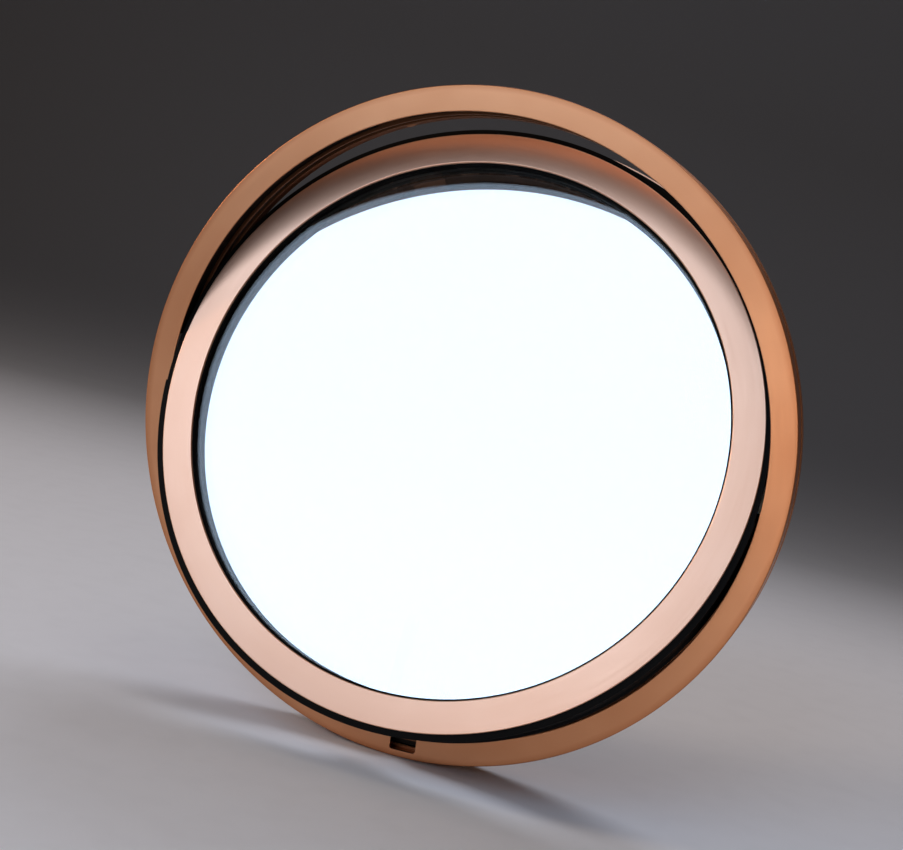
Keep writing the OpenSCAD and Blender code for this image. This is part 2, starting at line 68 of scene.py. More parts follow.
def pick(test, kind="verts"):
    """Selects, in edit mode, the vertices, edges or faces whose middle passes the test."""
    bpy.ops.mesh.select_mode(type={"verts": "VERT", "edges": "EDGE", "faces": "FACE"}[kind])
    bpy.ops.mesh.select_all(action="DESELECT")
    mesh = bmesh.from_edit_mesh(bpy.context.object.data)
    for element in getattr(mesh, kind):
        ends = [element] if kind == "verts" else element.verts
        middle = sum((v.co for v in ends), Vector()) / len(ends)
        if test(middle, element):
            element.select_set(True)
    mesh.select_flush_mode()
    bmesh.update_edit_mesh(bpy.context.object.data)


def take(piece):
    """Selects a piece alone and makes it the active one."""
    bpy.ops.object.select_all(action="DESELECT")
    piece.select_set(True)
    bpy.context.view_layer.objects.active = piece


def draw(name, places):
    """Draws a closed outline from corner to corner and fills it. Stays in edit mode."""
    bpy.ops.mesh.primitive_plane_add(size=MM, location=(0, 0, 0))
    piece = bpy.context.object
    piece.name = piece.data.name = name
    bpy.ops.object.mode_set(mode="EDIT")
    bpy.ops.mesh.select_mode(type="VERT")
    bpy.ops.mesh.merge(type="CENTER")
    here = Vector((0, 0, 0))
    bpy.ops.transform.translate(value=places[0] - here)
    here = places[0]
    for place in places[1:]:
        bpy.ops.mesh.extrude_vertices_move(TRANSFORM_OT_translate={"value": place - here})
        here = place
    bpy.ops.mesh.select_all(action="SELECT")
    bpy.ops.mesh.edge_face_add()
    return piece


def soften(corners, places):
    """Rounds those corners of the drawn outline that name a radius in mm."""
    for radius in sorted({c[2] for c in corners if len(c) > 2}):
        sharp = [p for c, p in zip(corners, places) if len(c) > 2 and c[2] == radius]
        pick(lambda middle, _: any((middle - p).length < 1e-6 for p in sharp))
        bpy.ops.mesh.bevel(offset=radius * MM, segments=3, affect="VERTICES")


def tidy_shell(piece):
    """Merges doubles, drops the edge left on the axis, turns faces outwards, leaves edit mode."""
    bpy.ops.object.mode_set(mode="EDIT")
    bpy.ops.mesh.select_all(action="SELECT")
    bpy.ops.mesh.remove_doubles(threshold=1e-6)
    bpy.ops.mesh.delete_loose()
    bpy.ops.mesh.select_all(action="SELECT")
    bpy.ops.mesh.normals_make_consistent(inside=False)
    bpy.ops.object.mode_set(mode="OBJECT")
    bpy.ops.object.shade_smooth_by_angle(angle=SMOOTH_UNDER)
    return piece


def turn(name, corners, start=0.0, end=360.0, steps=RING_STEPS):
    """Spins a section, drawn as (radius, depth, rounding) in mm, round the Y axis."""
    places = [at(c[0], c[1], start) for c in corners]
    piece = draw(name, places)
    soften(corners, places)
    whole = end - start >= 360
    turned_by = math.radians(min(end - start, 360))
    count = max(3, round(steps * turned_by / math.tau))
    if whole:
        bpy.ops.mesh.select_all(action="SELECT")
        bpy.ops.mesh.delete(type="ONLY_FACE")
    bpy.ops.mesh.select_mode(type="VERT")
    bpy.ops.mesh.select_all(action="SELECT")
    bpy.ops.mesh.spin(steps=count, angle=turned_by, center=(0, 0, 0), axis=(0, 1, 0))
    if not whole:
        onwards = Vector((-math.sin(math.radians(start)), 0, math.cos(math.radians(start))))
        outwards = at(1, 0, start)

        def at_start(middle, _):
            return abs(middle.dot(onwards)) < 1e-7 and middle.dot(outwards) > 0

        pick(at_start, "faces")
        if not any(f.select for f in bmesh.from_edit_mesh(piece.data).faces):
            pick(at_start)
            bpy.ops.mesh.edge_face_add()
    return tidy_shell(piece)


def block(low, high):
    """A box between two corners in mm."""
    middle = [(a + b) / 2 * MM for a, b in zip(low, high)]
    bpy.ops.mesh.primitive_cube_add(size=1, location=middle)
    piece = bpy.context.object
    piece.scale = [(b - a) * MM for a, b in zip(low, high)]
    bpy.ops.object.transform_apply()
    return piece


def rod(radius, start, end, sides=32):
    """A round bar between two points in metres, its radius in mm."""
    along = Vector(end) - Vector(start)
    bpy.ops.mesh.primitive_cylinder_add(
        vertices=sides, radius=radius * MM, depth=along.length,
        location=(Vector(start) + Vector(end)) / 2,
        rotation=along.to_track_quat("Z", "Y").to_euler(),
    )
    piece = bpy.context.object
    bpy.ops.object.transform_apply()
    return piece


def join(pieces, name=None):
    """Joins several pieces into the first one."""
    bpy.ops.object.select_all(action="DESELECT")
    for piece in pieces:
        piece.select_set(True)
    bpy.context.view_layer.objects.active = pieces[0]
    if len(pieces) > 1:
        bpy.ops.object.join()
    if name:
        pieces[0].name = pieces[0].data.name = name
    return pieces[0]


def cut(piece, tools, how="DIFFERENCE"):
    """Cuts the tools out of a piece, or keeps what lies in them, and removes the tools."""
    tool = join(tools)
    take(piece)
    boolean = piece.modifiers.new("cut", "BOOLEAN")
    boolean.operation = how
    boolean.solver = "EXACT"
    boolean.object = tool
    bpy.ops.object.modifier_apply(modifier=boolean.name)
    bpy.data.objects.remove(tool)
    bpy.ops.object.mode_set(mode="EDIT")
    bpy.ops.mesh.select_all(action="SELECT")
    bpy.ops.mesh.dissolve_degenerate(threshold=1e-6)
    bpy.ops.object.mode_set(mode="OBJECT")
    bpy.ops.object.shade_smooth_by_angle(angle=SMOOTH_UNDER)
    return piece


def linear(shade):
    """An sRGB hex colour as a linear colour with full alpha."""
    parts = [int(shade[i:i + 2], 16) / 255 for i in (1, 3, 5)]
    return [p / 12.92 if p <= 0.04045 else ((p + 0.055) / 1.055) ** 2.4 for p in parts] + [1.0]


def add(material, kind, values={}, links={}, **settings):
    """Adds a node with its settings, the values of its sockets and what they are linked to."""
    node = material.node_tree.nodes.new(kind)
    for name, value in settings.items():
        setattr(node, name, value)
    for socket, value in values.items():
        node.inputs[socket].default_value = value
    for socket, source in links.items():
        material.node_tree.links.new(source, node.inputs[socket])
    return node


def begin(name, shade, metallic=0.0, roughness=0.5, **values):
    """A new material, with its shader's plain values set on the shader itself."""
    material = bpy.data.materials.new(name)
    material.use_nodes = True
    shader = material.node_tree.nodes["Principled BSDF"]
    shader.inputs["Base Color"].default_value = linear(shade)
    shader.inputs["Metallic"].default_value = metallic
    shader.inputs["Roughness"].default_value = roughness
    for socket, value in values.items():
        shader.inputs[socket.replace("_", " ")].default_value = value
    return material, shader


def anodised(name, shade, patch_and_painted_shade_tone, leaning=0.0, rim=1.0, bore=0.0):
    """Rolled and satin-anodised aluminium. The film is coloured and softly glossy, with faint
    lines along the ring from the rolls. The real lines are under 0.1 mm apart, too fine to show,
    so they are drawn about 0.8 mm apart. Slow patches come from the dye bath. From the rim
    radius outwards, in metres, the colour is darkened as painted shade, the shade that a wall
    round the frame casts on its outer edge, and inside the bore radius, behind the lip, it is
    darkened to dark brown as painted shade of the bore's hollow."""
    material, shader = begin(name, shade, metallic=0.82, roughness=0.36)
    places = add(material, "ShaderNodeTexCoord")
    upright = add(material, "ShaderNodeMapping", {"Rotation": (math.radians(leaning), 0, 0)},
                  {"Vector": places.outputs["Object"]})
    parts = add(material, "ShaderNodeSeparateXYZ", links={0: upright.outputs[0]})
    flat = add(material, "ShaderNodeMapping", {"Scale": (1, 0, 1)}, {"Vector": upright.outputs[0]})
    radius = add(material, "ShaderNodeVectorMath", links={0: flat.outputs[0]}, operation="LENGTH")
    round_angle = add(material, "ShaderNodeMath",
                      links={0: parts.outputs["Z"], 1: parts.outputs["X"]}, operation="ARCTAN2")
    along_ring = add(material, "ShaderNodeCombineXYZ",
                     links={"X": radius.outputs["Value"], "Y": round_angle.outputs[0],
                            "Z": parts.outputs["Y"]})
    per_metre = 1 / (0.8 * MM)
    lines_at = add(material, "ShaderNodeMapping", {"Scale": (per_metre, 5.0, per_metre)},
                   {"Vector": along_ring.outputs[0]})
    lines = add(material, "ShaderNodeTexNoise", {"Scale": 1.0, "Detail": 3.0, "Roughness": 0.6},
                {"Vector": lines_at.outputs[0]})
    patches = add(material, "ShaderNodeTexNoise", {"Scale": 9.0, "Detail": 2.0},
                  {"Vector": places.outputs["Object"]})
    grit = add(material, "ShaderNodeTexNoise", {"Scale": 1 / (1.5 * MM), "Detail": 2.0},
               {"Vector": places.outputs["Object"]})
    worn = add(material, "ShaderNodeMapRange",
               {"From Min": 0.35, "From Max": 0.75, "To Min": 0.0, "To Max": 0.5},
               {"Value": patches.outputs["Fac"]})
    # Painted shade: darker from the rim radius outwards, as a wall round the frame would shade it
    painted_rim_shade = add(material, "ShaderNodeMapRange",
                {"From Min": rim, "From Max": rim + 9 * MM, "To Min": 0.0, "To Max": 0.8},
                {"Value": radius.outputs["Value"]})
    patches_and_rim_shade = add(material, "ShaderNodeMath", links={0: worn.outputs[0], 1: painted_rim_shade.outputs[0]},
               operation="MAXIMUM")
    # The film's colour: the dye-bath patches, and on the frame the painted shade of its outer edge
    dyed = add(material, "ShaderNodeMix", {6: linear(shade), 7: linear(patch_and_painted_shade_tone)},
               {0: patches_and_rim_shade.outputs[0]}, data_type="RGBA")
    sheen = add(material, "ShaderNodeMapRange",
                {"From Min": 0.3, "From Max": 0.7, "To Min": 0.31, "To Max": 0.39},
                {"Value": lines.outputs["Fac"]})
    ripple = add(material, "ShaderNodeMath", {1: 0.25}, {0: grit.outputs["Fac"]},
                 operation="MULTIPLY_ADD")
    material.node_tree.links.new(lines.outputs["Fac"], ripple.inputs[2])
    bump = add(material, "ShaderNodeBump", {"Strength": 0.08, "Distance": 0.05 * MM},
               {"Height": ripple.outputs[0]})
    # Painted shade of the bore's hollow: inside the bore radius, between the lip and the frame's back
    inside = add(material, "ShaderNodeMapRange",
                 {"From Min": bore, "From Max": bore - 1 * MM, "To Min": 0.0, "To Max": 0.85},
                 {"Value": radius.outputs["Value"]})
    behind = add(material, "ShaderNodeMapRange",
                 {"From Min": (FRAME_FRONT + 0.7) * MM, "From Max": (FRAME_FRONT + 2.1) * MM},
                 {"Value": parts.outputs["Y"]})
    before = add(material, "ShaderNodeMapRange",
                 {"From Min": (FRAME_BACK - 0.5) * MM, "From Max": (FRAME_BACK - 1.5) * MM},
                 {"Value": parts.outputs["Y"]})
    deep = add(material, "ShaderNodeMath", links={0: behind.outputs[0], 1: before.outputs[0]},
               operation="MULTIPLY")
    painted_bore_shade = add(material, "ShaderNodeMath", links={0: deep.outputs[0], 1: inside.outputs[0]},
               operation="MULTIPLY")
    # Painted shade: the bore's hollow darkened to dark brown
    bore_shaded_colour = add(material, "ShaderNodeMix", {7: linear("#3A2010")},
                 {0: painted_bore_shade.outputs[0], 6: dyed.outputs[2]}, data_type="RGBA")
    material.node_tree.links.new(bore_shaded_colour.outputs[2], shader.inputs["Base Color"])
    material.node_tree.links.new(sheen.outputs[0], shader.inputs["Roughness"])
    material.node_tree.links.new(bump.outputs["Normal"], shader.inputs["Normal"])
    return material


def finish_with(piece, material):
    """Gives a piece its material, and shades its flats flat and its rounded corners round."""
    piece.data.materials.clear()
    piece.data.materials.append(material)
    take(piece)
    flats = piece.modifiers.new("flats", "WEIGHTED_NORMAL")
    flats.keep_sharp = True
    flats.weight = 100
    bpy.ops.object.modifier_apply(modifier=flats.name)
    return piece


# The frame's film carries painted shade from 345 mm outwards, and inside 348 mm behind the lip
copper_film = anodised("satin_anodised_aluminium_copper", "#DA9C72", "#BC764A",
                       rim=345 * MM, bore=348 * MM)

POCKETS = [((317, -20, -32), (351, 26.3, 32)), ((-351, -20, -32), (-317, 26.3, 32))]
BEARING_SCREW_R, BEARING_SCREW_Z = 2.55, 23
ring = turn("frame_front_rolled", [
    (BORE_R, FRAME_FRONT, 0.8), (FRAME_R, FRAME_FRONT, 1.2), (FRAME_R, BREAK_FROM, 0.3),
    (FRAME_R - 6, BREAK_FROM, 0.3), (FRAME_R - 6, GROOVE_BACK, 0.3),
    (FRAME_R - FRAME_WALL, GROOVE_BACK), (FRAME_R - FRAME_WALL, FRAME_FRONT + FRAME_WALL),
    (GROOVE_R + FRAME_WALL, FRAME_FRONT + FRAME_WALL), (GROOVE_R + FRAME_WALL, BREAK_FROM, 0.3),
    (BORE_R, BREAK_FROM, 0.4), (BORE_R, GROOVE_BACK, 0.4), (GROOVE_R, GROOVE_BACK),
    (GROOVE_R, FRAME_FRONT + LIP_T), (BORE_R, FRAME_FRONT + LIP_T, 0.4)])


def round_edges(test, radius, segments):
    """Rounds those edges of the active piece whose middle passes the test, by a radius in mm."""
    bpy.ops.object.mode_set(mode="EDIT")
    pick(test, "edges")
    bpy.ops.mesh.bevel(offset=radius * MM, segments=segments)
    bpy.ops.object.mode_set(mode="OBJECT")


def weep_slot():
    """The cutter of the weep slot, open to the bore, its outer corners round."""
    slot = block((BORE_R - 2, -26, -WEEP_HALF), (WEEP_R, -16.5, WEEP_HALF))
    round_edges(lambda middle, e: middle.x > (WEEP_R - 0.1) * MM and abs(middle.z) > 14 * MM, 3, 6)
    slot.rotation_euler = (0, -math.radians(WEEP_ANGLE), 0)
    bpy.ops.object.transform_apply()
    return slot


cut(ring, [weep_slot()])
cut(ring, [block(*pocket) for pocket in POCKETS])
cut(ring, [rod(BEARING_SCREW_R, Vector((x0, 0, z)) * MM, Vector((x1, 0, z)) * MM, ROUND_STEPS)
           for x0, x1 in ((320, 360), (-360, -320)) for z in (-BEARING_SCREW_Z, BEARING_SCREW_Z)])
finish_with(ring, copper_film)
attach(ring, "frame")
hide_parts("frame_front_ring")

# ---- Thermal break of the frame ----
# Two polyamide webs and a cross plate that keep the cold outer extrusion off the inner one.
# Glass-filled, extruded, crimped in. Seen as a dark band deep in the bore.


def grained(name, shade, dusty_shade, grain, roughness, depth, metallic=0.0, **values):
    """A plain material with a fine grain: its size and depth in mm, and a film of dust."""
    material, shader = begin(name, shade, metallic=metallic, roughness=roughness, **values)
    places = add(material, "ShaderNodeTexCoord")
    fine = add(material, "ShaderNodeTexNoise", {"Scale": 1 / (grain * MM), "Detail": 3.0},
               {"Vector": places.outputs["Object"]})
    broad = add(material, "ShaderNodeTexNoise", {"Scale": 1 / (40 * MM), "Detail": 4.0},
                {"Vector": places.outputs["Object"]})
    dust = add(material, "ShaderNodeMapRange",
               {"From Min": 0.45, "From Max": 0.8, "To Min": 0.0, "To Max": 0.6},
               {"Value": broad.outputs["Fac"]})
    shades = add(material, "ShaderNodeMix", {6: linear(shade), 7: linear(dusty_shade)},
                 {0: dust.outputs[0]}, data_type="RGBA")
    gloss = add(material, "ShaderNodeMapRange",
                {"From Min": 0.3, "From Max": 0.7, "To Min": max(0.05, roughness - 0.07),
                 "To Max": min(1.0, roughness + 0.07)},
                {"Value": fine.outputs["Fac"]})
    bump = add(material, "ShaderNodeBump", {"Strength": 0.4, "Distance": depth * MM},
               {"Height": fine.outputs["Fac"]})
    material.node_tree.links.new(shades.outputs[2], shader.inputs["Base Color"])
    material.node_tree.links.new(gloss.outputs[0], shader.inputs["Roughness"])
    material.node_tree.links.new(bump.outputs["Normal"], shader.inputs["Normal"])
    return material


# Extruded polyamide 6.6 with a quarter glass fibre: near black, dull, slightly hairy skin
polyamide = grained("extruded_glass_filled_polyamide", "#0E0E0E", "#1C1B1A", 0.8, 0.62, 0.05)

WEB_T = 2.5
inner_r, outer_r = BORE_R + FRAME_WALL, FRAME_R - FRAME_WALL


def webs(name, inner, outer, front, back):
    """Two webs with a cross plate halfway between them, as one ring."""
    in_t, out_t = inner + WEB_T, outer - WEB_T
    plate_front, plate_back = (front + back - WEB_T) / 2, (front + back + WEB_T) / 2
    return turn(name, [
        (inner, front), (in_t, front), (in_t, plate_front, 0.5), (out_t, plate_front, 0.5),
        (out_t, front), (outer, front), (outer, back), (out_t, back), (out_t, plate_back, 0.5),
        (in_t, plate_back, 0.5), (in_t, back), (inner, back)])


web = webs("frame_break_webs", inner_r, outer_r, BREAK_FROM, BREAK_TO)
cut(web, [block(*pocket) for pocket in POCKETS])
finish_with(web, polyamide)
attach(web, "frame")
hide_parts("frame_thermal_break")

# ---- Inner half of the frame ----
# The room-side extrusion, rolled and anodised as the outer one. Eight fixing screws go through
# it into the wall, and the stop ring is screwed to its back.
FIXINGS = [22.5 + 45 * i for i in range(8)]
FIXING_DEPTH, ACCESS_HOLE_R, WALL_SCREW_HOLE_R = 23, 4.2, 2.85
SMALL_SCREW_HOLE_R, STOP_SCREW_RING_R = 2.05, 339
STOP_SCREWS = [196, 218, 240, 300, 322, 344]
KEEPER_PLACE = [(-14, -337), (14, -337)]


def keeper_screw_holes(front, back):
    """The holes of the keeper's two screws, between two depths."""
    return [rod(SMALL_SCREW_HOLE_R, Vector((x, front, z)) * MM, Vector((x, back, z)) * MM, 20)
            for x, z in KEEPER_PLACE]


def ring_holes(radius, ring_r, front, back, angles):
    """Holes through a flat ring, at angles round it, between two depths."""
    return [rod(radius, at(ring_r, front, a), at(ring_r, back, a), 20) for a in angles]


ring = turn("frame_back_rolled", [
    (BORE_R, BREAK_TO, 0.4), (BORE_R + 9, BREAK_TO, 0.3), (BORE_R + 9, BREAK_TO + FRAME_WALL, 0.3),
    (inner_r, BREAK_TO + FRAME_WALL), (inner_r, FRAME_BACK - FRAME_WALL),
    (outer_r, FRAME_BACK - FRAME_WALL), (outer_r, BREAK_TO + FRAME_WALL),
    (FRAME_R - 6, BREAK_TO + FRAME_WALL, 0.3), (FRAME_R - 6, BREAK_TO, 0.3), (FRAME_R, BREAK_TO, 0.3),
    (FRAME_R, FRAME_BACK, 0.8), (BORE_R, FRAME_BACK, 0.8)])
cut(ring, [block(*pocket) for pocket in POCKETS])
cut(ring, [rod(ACCESS_HOLE_R, at(BORE_R - 5, FIXING_DEPTH, a), at(BORE_R + 4, FIXING_DEPTH, a))
           for a in FIXINGS])
cut(ring, [rod(WALL_SCREW_HOLE_R, at(FRAME_R - 4, FIXING_DEPTH, a), at(FRAME_R + 4, FIXING_DEPTH, a))
           for a in FIXINGS])
cut(ring, ring_holes(SMALL_SCREW_HOLE_R, STOP_SCREW_RING_R, FRAME_BACK - 4, FRAME_BACK + 2, STOP_SCREWS)
    + keeper_screw_holes(FRAME_BACK - 4, FRAME_BACK + 2))
finish_with(ring, copper_film)
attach(ring, "frame")
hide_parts("frame_back_ring")

# ---- Seal in the frame's groove ----
# A black EPDM strip pushed into the groove behind the lip, with a soft lip of its own. It stops
# short near the top to let air into the groove, and is notched over the weep slot.

# Extruded EPDM: matt black with a trace of talc and dust
epdm = grained("extruded_epdm_rubber", "#030303", "#080707", 0.6, 0.72, 0.012,
               Specular_IOR_Level=0.12)

SEAL_GAP, SEAL_GAP_HALF = 114.6, 3.183
PLAY = 0.05
front_y, back_y = FRAME_FRONT + LIP_T + PLAY, GROOVE_BACK - PLAY
seal = turn("frame_groove_seal", [
    (328.5, front_y + 1, 0.4), (329.5, front_y, 0.4), (GROOVE_R - PLAY, front_y, 0.3),
    (GROOVE_R - PLAY, back_y, 0.3), (330.5, back_y, 0.3), (330.5, front_y + 9, 0.6),
    (328.5, front_y + 7, 0.6)],
    start=SEAL_GAP + SEAL_GAP_HALF, end=SEAL_GAP - SEAL_GAP_HALF + 360)
cut(seal, [weep_slot()])
cut(seal, [block((317, -20.1, -32.1), (354, 26.3, 32.1)),
           block((-354, -20.1, -32.1), (-317, 26.3, 32.1))])
finish_with(seal, epdm)
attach(seal, "frame")
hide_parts("frame_seal")

# ---- Lower stop ring, its seal and screws ----
# A flat half ring, laser-cut from plate and anodised, on the frame's back: the bottom of the
# sash closes against the soft strip that it carries. Notched for the latch.
STOP_FROM, STOP_TO = 190, 350
STOP_R, STOP_OUTER_R, STOP_BACK = 302, 345, 33
NOTCH = ((-44, 26, -328), (44, 37, -200))
plate = turn("lower_stop_plate", [
    (STOP_R, FRAME_BACK, 0.6), (STOP_OUTER_R, FRAME_BACK, 0.6), (STOP_OUTER_R, STOP_BACK, 0.6),
    (STOP_R, STOP_BACK, 0.6)], start=STOP_FROM, end=STOP_TO)
cut(plate, [block(*NOTCH)])
cut(plate, ring_holes(SMALL_SCREW_HOLE_R, STOP_SCREW_RING_R, FRAME_BACK - 1, STOP_BACK + 1, STOP_SCREWS)
    + keeper_screw_holes(FRAME_BACK - 1, STOP_BACK + 1))


def sink(radius, head, place, along):
    """A countersink tool: a cone whose wide end lies at the place, its tip just inside the hole."""
    tip = radius - 0.1
    depth = (head - tip) * MM
    bpy.ops.mesh.primitive_cone_add(
        vertices=24, radius1=head * MM, radius2=tip * MM, depth=depth,
        location=Vector(place) + Vector(along) * depth / 2,
        rotation=Vector(along).to_track_quat("Z", "Y").to_euler())
    bpy.ops.object.transform_apply()
    return bpy.context.object


SMALL_SINK_R = 4.05
JUST_OVER = 0.0005  # keeps a tool's end off the face that it cuts
cut(plate, [sink(SMALL_SCREW_HOLE_R, SMALL_SINK_R, at(STOP_SCREW_RING_R, STOP_BACK + JUST_OVER, a),
                 (0, -1, 0)) for a in STOP_SCREWS])
finish_with(plate, copper_film)
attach(plate, "frame")
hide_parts("lower_stop_ring")

strip = turn("lower_stop_strip", [
    (STOP_R + 2, 27.3, 0.8), (STOP_R + 16, 27.3, 0.8), (STOP_R + 16, FRAME_BACK),
    (STOP_R + 2, FRAME_BACK)], start=STOP_FROM, end=STOP_TO)
cut(strip, [block(*NOTCH)])
finish_with(strip, epdm)
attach(strip, "frame")
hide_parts("lower_stop_seal")

# Turned stainless steel: bright, with rings from the cutting tool about 0.2 mm apart
stainless = grained("turned_stainless_steel", "#B9B8B4", "#A19F9A", 0.4, 0.3, 0.01, metallic=1.0)


def countersunk(radius, head, length, sides=24):
    """A countersunk screw with a hex socket, along +Y with its head's face at 0. Sizes in mm."""
    body = turn("screw", [(0, 0), (head - 0.3, 0), (head, 0.3), (radius, head - radius),
                          (radius, length - 1), (radius - 0.8, length), (0, length)], steps=sides)
    cut(body, [rod(head * 0.5, (0, -MM, 0), (0, head * 0.45 * MM, 0), 6)])
    return body


def aim(place, along):
    """Carries something drawn along +Y to a place, pointing along a direction."""
    turned = Vector((0, 1, 0)).rotation_difference(Vector(along))
    return Matrix.Translation(place) @ turned.to_matrix().to_4x4()


def repeat(master, name, wheres):
    """Copies a piece, each copy with its own mesh, to every place, and joins the copies."""
    copies = []
    for where in wheres:
        take(master)
        bpy.ops.object.duplicate()
        copy = bpy.context.object
        copy.matrix_world = where
        bpy.ops.object.transform_apply()
        copies.append(copy)
    bpy.data.objects.remove(master)
    return join(copies, name)


screws = repeat(countersunk(2, 4, 10), "lower_stop_screw_set",
                [aim(at(STOP_SCREW_RING_R, STOP_BACK, a), (0, -1, 0)) for a in STOP_SCREWS])
finish_with(screws, stainless)
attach(screws, "frame")
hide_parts("lower_stop_screws")

# ---- Bearings, their screws and the friction washers ----
# Zinc die-cast blocks let into the frame at both ends of the pivot axis, each with two
# countersunk screws. Nylon washers between block and sash hold the sash where it is left.

# Die-cast zinc, tumbled and painted grey: fine pebbled skin
cast_zinc = grained("painted_zinc_die_casting", "#7D8085", "#6C6C6A", 0.9, 0.5, 0.04)

BEARING_FACE, BEARING_END_R = 326.5, 350.9
PIN_HOLE_R = 7.05
BIG_SINK_R = 5.05


def drum(radius):
    """A cutter as wide as a ring of this radius in mm, longer than any piece is deep."""
    return rod(radius, (0, -0.05, 0), (0, 0.05, 0), RING_STEPS)


def mirrored(master, name):
    """A copy with its own mesh for the other side of the window."""
    take(master)
    bpy.ops.object.duplicate()
    copy = bpy.context.object
    copy.name = copy.data.name = name
    copy.scale = (-1, 1, 1)
    bpy.ops.object.transform_apply()
    return tidy_shell(copy)


casting = block((BEARING_FACE, -19.9, -31.9), (354, 26.2, 31.9))
round_edges(lambda middle, e: middle.x < BORE_R * MM, 1.0, 2)
cut(casting, [drum(BEARING_END_R)], "INTERSECT")
cut(casting, [rod(PIN_HOLE_R, (0.32, 0, 0), (0.36, 0, 0), 48)])
cut(casting, [rod(BEARING_SCREW_R, Vector((320, 0, z)) * MM, Vector((360, 0, z)) * MM, ROUND_STEPS)
              for z in (-BEARING_SCREW_Z, BEARING_SCREW_Z)])
cut(casting, [sink(BEARING_SCREW_R, BIG_SINK_R, Vector((BEARING_FACE - 0.001, 0, z)) * MM, (1, 0, 0))
              for z in (-BEARING_SCREW_Z, BEARING_SCREW_Z)])
casting.name = casting.data.name = "bearing_right_casting"
for body, node in ((casting, "bearing_right"),
                   (mirrored(casting, "bearing_left_casting"), "bearing_left")):
    finish_with(body, cast_zinc)
    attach(body, "frame")
    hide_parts(node)

screws = repeat(countersunk(2.5, 5, 26), "bearing_screw_set",
                [aim(Vector((side * BEARING_FACE, 0, z)) * MM, (side, 0, 0))
                 for side in (1, -1) for z in (-BEARING_SCREW_Z, BEARING_SCREW_Z)])
finish_with(screws, stainless)
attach(screws, "frame")
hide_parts("bearing_screws")

# Turned nylon: creamy, half matt, slightly marked by rubbing
nylon = grained("turned_nylon", "#E0DACB", "#C4BBA6", 0.7, 0.45, 0.02, Subsurface_Weight=0.15)

WASHER_T = 7.2
washer = turn("washer", [(PIN_HOLE_R, 0, 0.3), (14, 0, 0.5), (14, WASHER_T, 0.5),
                         (PIN_HOLE_R, WASHER_T, 0.3)], steps=64)
washers = repeat(washer, "friction_washer_pair",
                 [aim(Vector((side * (BEARING_FACE - WASHER_T), 0, 0)) * MM, (side, 0, 0))
                  for side in (1, -1)])
finish_with(washers, nylon)
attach(washers, "frame")
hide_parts("friction_washers")

# ---- Sleeves and caps of the wall fixings ----
# Short steel tubes in the frame's chamber keep the fixing screws from crushing it. Once the
# screws are in, a snapped-in plastic cap closes each access hole in the bore.

# Zinc-plated steel: bluish grey, half bright
plated_steel = grained("zinc_plated_steel", "#9DA1A6", "#87898B", 0.7, 0.36, 0.015, metallic=1.0)

SLEEVE_FROM_R, SLEEVE_LENGTH = 334, 16.9
sleeve = turn("sleeve", [(2.75, 0, 0.2), (3.85, 0, 0.2), (3.85, SLEEVE_LENGTH, 0.2),
                         (2.75, SLEEVE_LENGTH, 0.2)], steps=24)
sleeves = repeat(sleeve, "fixing_sleeve_set",
                 [aim(at(SLEEVE_FROM_R, FIXING_DEPTH, a), at(1, 0, a).normalized()) for a in FIXINGS])
finish_with(sleeves, plated_steel)
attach(sleeves, "frame")
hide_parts("fixing_sleeves")

# Moulded polyethylene dyed to match the frame: soft sheen, faint mould grain
cap_plastic = grained("moulded_polyethylene_tan", "#A8714E", "#8F5F42", 0.6, 0.45, 0.02)

CAP_R, CAP_STEM_R, CAP_LENGTH = 5.4, 4.15, 3.6
cap = turn("cap", [(0, 0.05), (CAP_R - 0.8, 0.05), (CAP_R, 0.4), (CAP_R, 0.8), (CAP_STEM_R, 0.8),
                   (CAP_STEM_R, CAP_LENGTH, 0.3), (0, CAP_LENGTH)], steps=32)
caps = repeat(cap, "fixing_cap_set",
              [aim(at(BORE_R - 0.9, FIXING_DEPTH, a), at(1, 0, a).normalized()) for a in FIXINGS])
finish_with(caps, cap_plastic)
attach(caps, "frame")
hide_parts("fixing_caps")

# ---- Keeper on the frame ----
# A zinc block with a run-in at both ends, screwed to the frame's back below the latch. The
# lever's nose rides up it and pulls the sash tight.
base, top = STOP_BACK, 40.7
keeper = draw("keeper_casting", [Vector((x, y, -343.5)) * MM for x, y in (
    (-21, base), (21, base), (21, base + 3.85), (10.5, top), (-10.5, top), (-21, base + 3.85))])
bpy.ops.mesh.extrude_region_move(TRANSFORM_OT_translate={"value": (0, 0, 13 * MM)})
tidy_shell(keeper)
round_edges(lambda middle, e: middle.y > (base + 1) * MM, 0.8, 3)
HEAD_SEAT = base + 3.08
cut(keeper, [rod(4, Vector((x, HEAD_SEAT, z)) * MM, Vector((x, 45, z)) * MM, 32)
             for x, z in KEEPER_PLACE])
cut(keeper, [rod(SMALL_SCREW_HOLE_R, Vector((x, 30, z)) * MM, Vector((x, 45, z)) * MM, ROUND_STEPS)
             for x, z in KEEPER_PLACE])
finish_with(keeper, cast_zinc)
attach(keeper, "frame")
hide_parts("keeper")

pan_head = turn("screw", [(0, -1.6), (3.2, -1.6), (3.9, -1.0), (3.9, 0), (2, 0), (2, 8), (1.2, 9),
                          (0, 9)], steps=28)
cut(pan_head, [rod(1.8, (0, -2 * MM, 0), (0, -0.4 * MM, 0), 6)])
screws = repeat(pan_head, "keeper_screw_set",
                [aim(Vector((x, HEAD_SEAT, z)) * MM, (0, -1, 0)) for x, z in KEEPER_PLACE])
finish_with(screws, stainless)
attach(screws, "frame")
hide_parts("keeper_screws")

